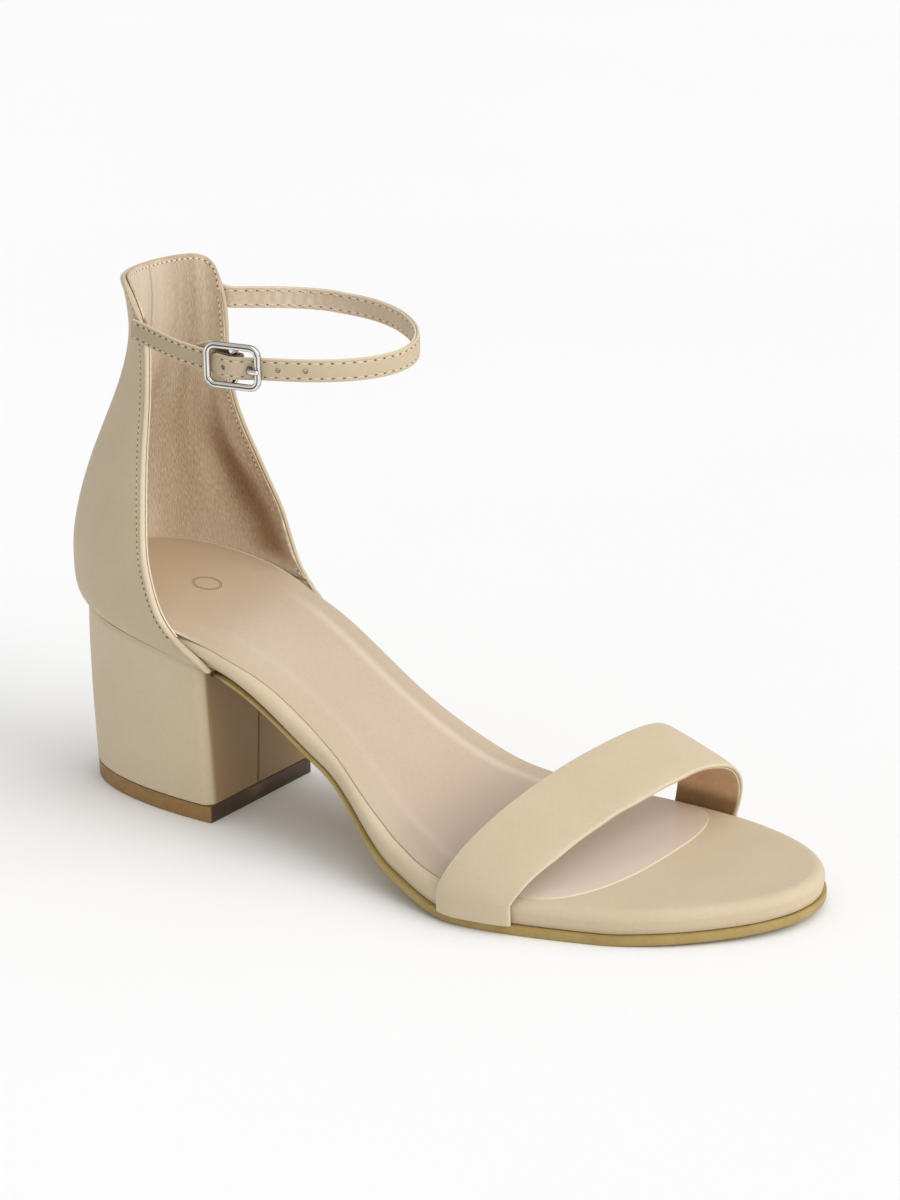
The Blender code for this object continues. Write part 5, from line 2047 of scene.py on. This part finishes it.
@dataclass
class Buckle:
    """Nickel frame with a bowed centre bar, and its prong."""

    route: StrapRoute
    up: float = 0.5
    long: float = 16.5
    tall: float = 12.3
    corner: float = 3.25
    wire: float = 1.75
    thick: float = 1.5
    bands: tuple[float, ...] = (0.34, 0.16, 0.16, 0.34)
    groove_deep: float = 0.22
    edge_round: float = 0.52
    out: float = 2.3
    bar_wire: float = 1.4
    bar: Weave = Weave(-0.5, -0.9)
    corner_steps: int = 9
    round_steps: int = 4
    rim_turn: float = 60.0
    wire_sides: int = 14
    bar_upper: tuple[Pair, ...] = ((-0.9, 0.0), (-0.9, 2.8), (-0.1, 3.25), (1.5, 3.6), (2.1, 5.3))
    bar_lower: tuple[Pair, ...] = ((-0.9, 3.4), (-0.4, 4.1), (1.1, 5.0), (2.1, 5.3))
    prong_wire: float = 1.7
    gap: float = 0.3
    eye: Pair = (-150.0, -320.0)
    eye_steps: int = 9
    eye_gap: float = 0.5
    rest_gap: float = 0.4
    point_thin: float = 0.25
    point_from: Pair = (0.6, 1.0)
    tip_thin: float = 0.5
    tip_from: Pair = (0.97, 1.0)
    pin: tuple[Pair, ...] = ((-3.6, -3.6), (-1.9, -0.6), (-0.7, 0.0), (1.1, -0.1))

    def set_on_strap(self, bm: BMesh) -> BMesh:
        """Move a part from the buckle's own axes onto the strap."""
        bmesh.ops.transform(bm, matrix=self.route.stance(0.0), verts=bm.verts)
        return bm

    def frame_ring(self) -> BMesh:
        """Rounded rectangle of round-edged wire, with a groove along its outer face.

        Returns:
            The frame.
        """
        bm = bmesh.new()
        size = Matrix.Diagonal((self.long, self.tall, 1.0, 1.0))
        bmesh.ops.create_grid(bm, x_segments=1, y_segments=1, size=0.5, matrix=size)
        bmesh.ops.bevel(bm, geom=bm.verts[:], offset=self.corner, segments=self.corner_steps, profile=0.5,
                        material=-1, affect="VERTICES")
        # Marks the wire's middle line: pushed in below as the groove, and darkened there with painted
        # shade.
        groove = bm.verts.layers.float.new("groove")
        whole = bm.faces[:]
        half_way = len(self.bands) // 2
        for number, share in enumerate(self.bands):
            for vert in whole[0].verts:
                vert[groove] = float(number == half_way)
            bmesh.ops.inset_region(bm, faces=whole, thickness=self.wire * share, use_even_offset=True,
                                   use_boundary=True)
        for vert in whole[0].verts:
            vert[groove] = 0.0
        bmesh.ops.delete(bm, geom=whole, context="FACES")
        bmesh.ops.recalc_face_normals(bm, faces=bm.faces)
        bmesh.ops.solidify(bm, geom=bm.faces[:], thickness=self.thick)
        rims = [edge for edge in bm.edges if edge.calc_face_angle(0.0) > math.radians(self.rim_turn)]
        bmesh.ops.bevel(bm, geom=rims, offset=self.edge_round, segments=self.round_steps, profile=0.5,
                        material=-1, affect="EDGES")
        points = np.array([vert.co for vert in bm.verts])
        middle = (points[:, 2].min() + points[:, 2].max()) / 2
        line = [vert for vert in bm.verts if vert[groove] > 0.5 and vert.co.z > middle]
        bmesh.ops.translate(bm, verts=line, vec=(0.0, 0.0, -self.groove_deep))
        bmesh.ops.translate(bm, verts=bm.verts, vec=(0.0, self.up, self.out - middle))
        upright = Matrix(((1, 0, 0, 0), (0, 0, -1, 0), (0, 1, 0, 0), (0, 0, 0, 1)))
        bmesh.ops.transform(bm, matrix=upright, verts=bm.verts)
        return self.set_on_strap(bm)

    def centre_bar(self) -> BMesh:
        """Bar that bows in behind the strap.

        Returns:
            The bar.
        """
        upper = [(self.bar.along, -out, rise) for out, rise in self.bar_upper]
        lower = [(self.bar.along, -out, -rise) for out, rise in self.bar_lower]
        path = self.softened(np.array(lower[::-1] + upper)) + (0.0, 0.0, self.up)
        return self.set_on_strap(planar_sweep(path, (1.0, 0.0, 0.0), self.bar_wire / 2, self.wire_sides))

    def prong(self) -> BMesh:
        """Prong: an open eye round the centre bar, then a pin over the frame's front bar.

        Returns:
            The prong.
        """
        radius = (self.bar_wire + self.prong_wire) / 2 + self.gap * self.eye_gap
        angles = np.radians(np.linspace(*self.eye, self.eye_steps))
        eye = np.stack([self.bar.along + radius * np.cos(angles), -self.bar.out - radius * np.sin(angles),
                        np.zeros(self.eye_steps)], axis=1)
        front = (self.long - self.wire) / 2
        rest = self.out + (self.wire + self.prong_wire) / 2 + self.gap * self.rest_gap
        pin = np.array([(front + ahead, -rest - rise, 0.0) for ahead, rise in self.pin])
        path = self.softened(np.vstack([eye, pin]))
        share = np.linspace(0, 1, len(path))
        point = 1 - self.point_thin * ease(share, *self.point_from)
        tip = 1 - self.tip_thin * ease(share, *self.tip_from)
        thin = self.prong_wire / 2 * point * tip
        return self.set_on_strap(planar_sweep(path, (0.0, 0.0, 1.0), thin, self.wire_sides))

    @staticmethod
    def softened(points: Points, steps: int = 70) -> Points:
        """Smooth line through points."""
        run = run_length(points, 0)
        at = np.linspace(0, run[-1], steps)
        return np.stack([smooth(run, axis, at) for axis in points.T], axis=1)

    def build(self, bench: Bench) -> None:
        """Build the frame, its bar and the prong."""
        bench.add("buckle_ring", self.frame_ring(), [NICKEL], Slot.NICKEL, ["buckle_frame"])
        bench.add("buckle_bar", self.centre_bar(), [NICKEL], Slot.NICKEL)
        bench.add("buckle_tongue", self.prong(), [NICKEL], Slot.NICKEL, ["buckle_prong"])


class Lamp(NamedTuple):
    """Broad soft light: where it comes from, its breadth in degrees and its watts per square metre."""

    name: str
    source: Triple
    breadth: float
    power: float


@dataclass
class Studio:
    """Floor, lights and the camera at the photograph's angle."""

    azimuth: float = 35.94
    elevation: float = 20.32
    roll: float = -1.52
    target: Triple = (107.635, 0.0, 41.8)
    distance: float = 940.5
    lens: float = 106.03
    shift: Pair = (0.0283, 0.0761)
    clip_start: float = 0.01
    floor_size: float = 12000.0
    lamps: tuple[Lamp, ...] = (Lamp("key", (0.7, 0.1, 0.9), 90.0, 1.15),
                               Lamp("front", (0.85, 0.0, 0.62), 40.0, 1.0))
    sky_strength: float = 0.565

    def camera_axes(self) -> tuple[Vector, Vector, Vector]:
        """Right, up and back directions of the camera.

        Returns:
            The three directions.
        """
        azimuth, elevation, roll = np.radians((self.azimuth, self.elevation, self.roll)).tolist()
        back = Vector((math.sin(azimuth) * math.cos(elevation), -math.cos(azimuth) * math.cos(elevation),
                       math.sin(elevation)))
        right = Vector((math.cos(azimuth), math.sin(azimuth), 0.0))
        up = back.cross(right)
        turned_right = right * math.cos(roll) + up * math.sin(roll)
        turned_up = up * math.cos(roll) - right * math.sin(roll)
        return turned_right, turned_up, back

    def add_camera(self, bench: Bench) -> None:
        """Put the camera where the photograph was taken from.

        Args:
            bench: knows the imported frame.
        """
        data = bpy.data.cameras.new("camera")
        data.lens = self.lens
        data.shift_x, data.shift_y = self.shift
        data.clip_start = self.clip_start
        camera = link("camera", data)
        right, up, back = self.camera_axes()
        stance = Matrix((right, up, back)).transposed().to_4x4()
        stance.translation = bench.place(self.target) + back * self.distance * MM
        camera.matrix_world = stance
        bpy.context.scene.camera = camera

    def add_floor(self, bench: Bench) -> None:
        """Lay the pale floor.

        Args:
            bench: holds the floor's material.
        """
        bm = bmesh.new()
        bmesh.ops.create_grid(bm, x_segments=2, y_segments=2, size=self.floor_size / 2 * MM)
        mesh = mesh_from("floor", bm)
        mesh.materials.append(bench.material(FLOOR))
        link("floor", mesh)

    @staticmethod
    def add_light(lamp: Lamp) -> None:
        """Hang a light that is the same all over the floor.

        Args:
            lamp: the light.
        """
        data = bpy.data.lights.new(lamp.name, "SUN")
        data.angle = math.radians(lamp.breadth)
        data.energy = lamp.power
        light = link(lamp.name, data)
        light.rotation_mode = "QUATERNION"
        light.rotation_quaternion = (-Vector(lamp.source)).to_track_quat("-Z", "Y")

    def build(self, bench: Bench) -> None:
        """Set up the studio.

        Args:
            bench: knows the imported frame.
        """
        self.add_camera(bench)
        self.add_floor(bench)
        for lamp in self.lamps:
            self.add_light(lamp)
        world = bpy.data.worlds.new("studio")
        world.use_nodes = True
        sky = world.node_tree.nodes["Background"]
        sky.inputs["Color"].default_value = (1.0, 1.0, 1.0, 1.0)
        sky.inputs["Strength"].default_value = self.sky_strength
        bpy.context.scene.world = world
        bpy.context.scene.view_settings.view_transform = "Standard"


def main() -> None:
    """Build the shoe piece by piece."""
    logging.basicConfig(level=logging.INFO, format="%(message)s")
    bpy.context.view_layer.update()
    last = Last()
    counter = Counter(last)
    heel = Heel(last)
    bench = Bench(last.sections[0].x, heel.side)
    Studio().build(bench)
    Footbed(last).build(bench)
    Outsole(last).build(bench)
    heel.build(bench)
    counter.build(bench)
    Sock(last, counter).build(bench)
    ToeStrap(last).build(bench)
    route = StrapRoute(counter)
    AnkleStrap(route).build(bench)
    BuckleStrap(route).build(bench)
    Buckle(route).build(bench)


if __name__ == "__main__":
    main()
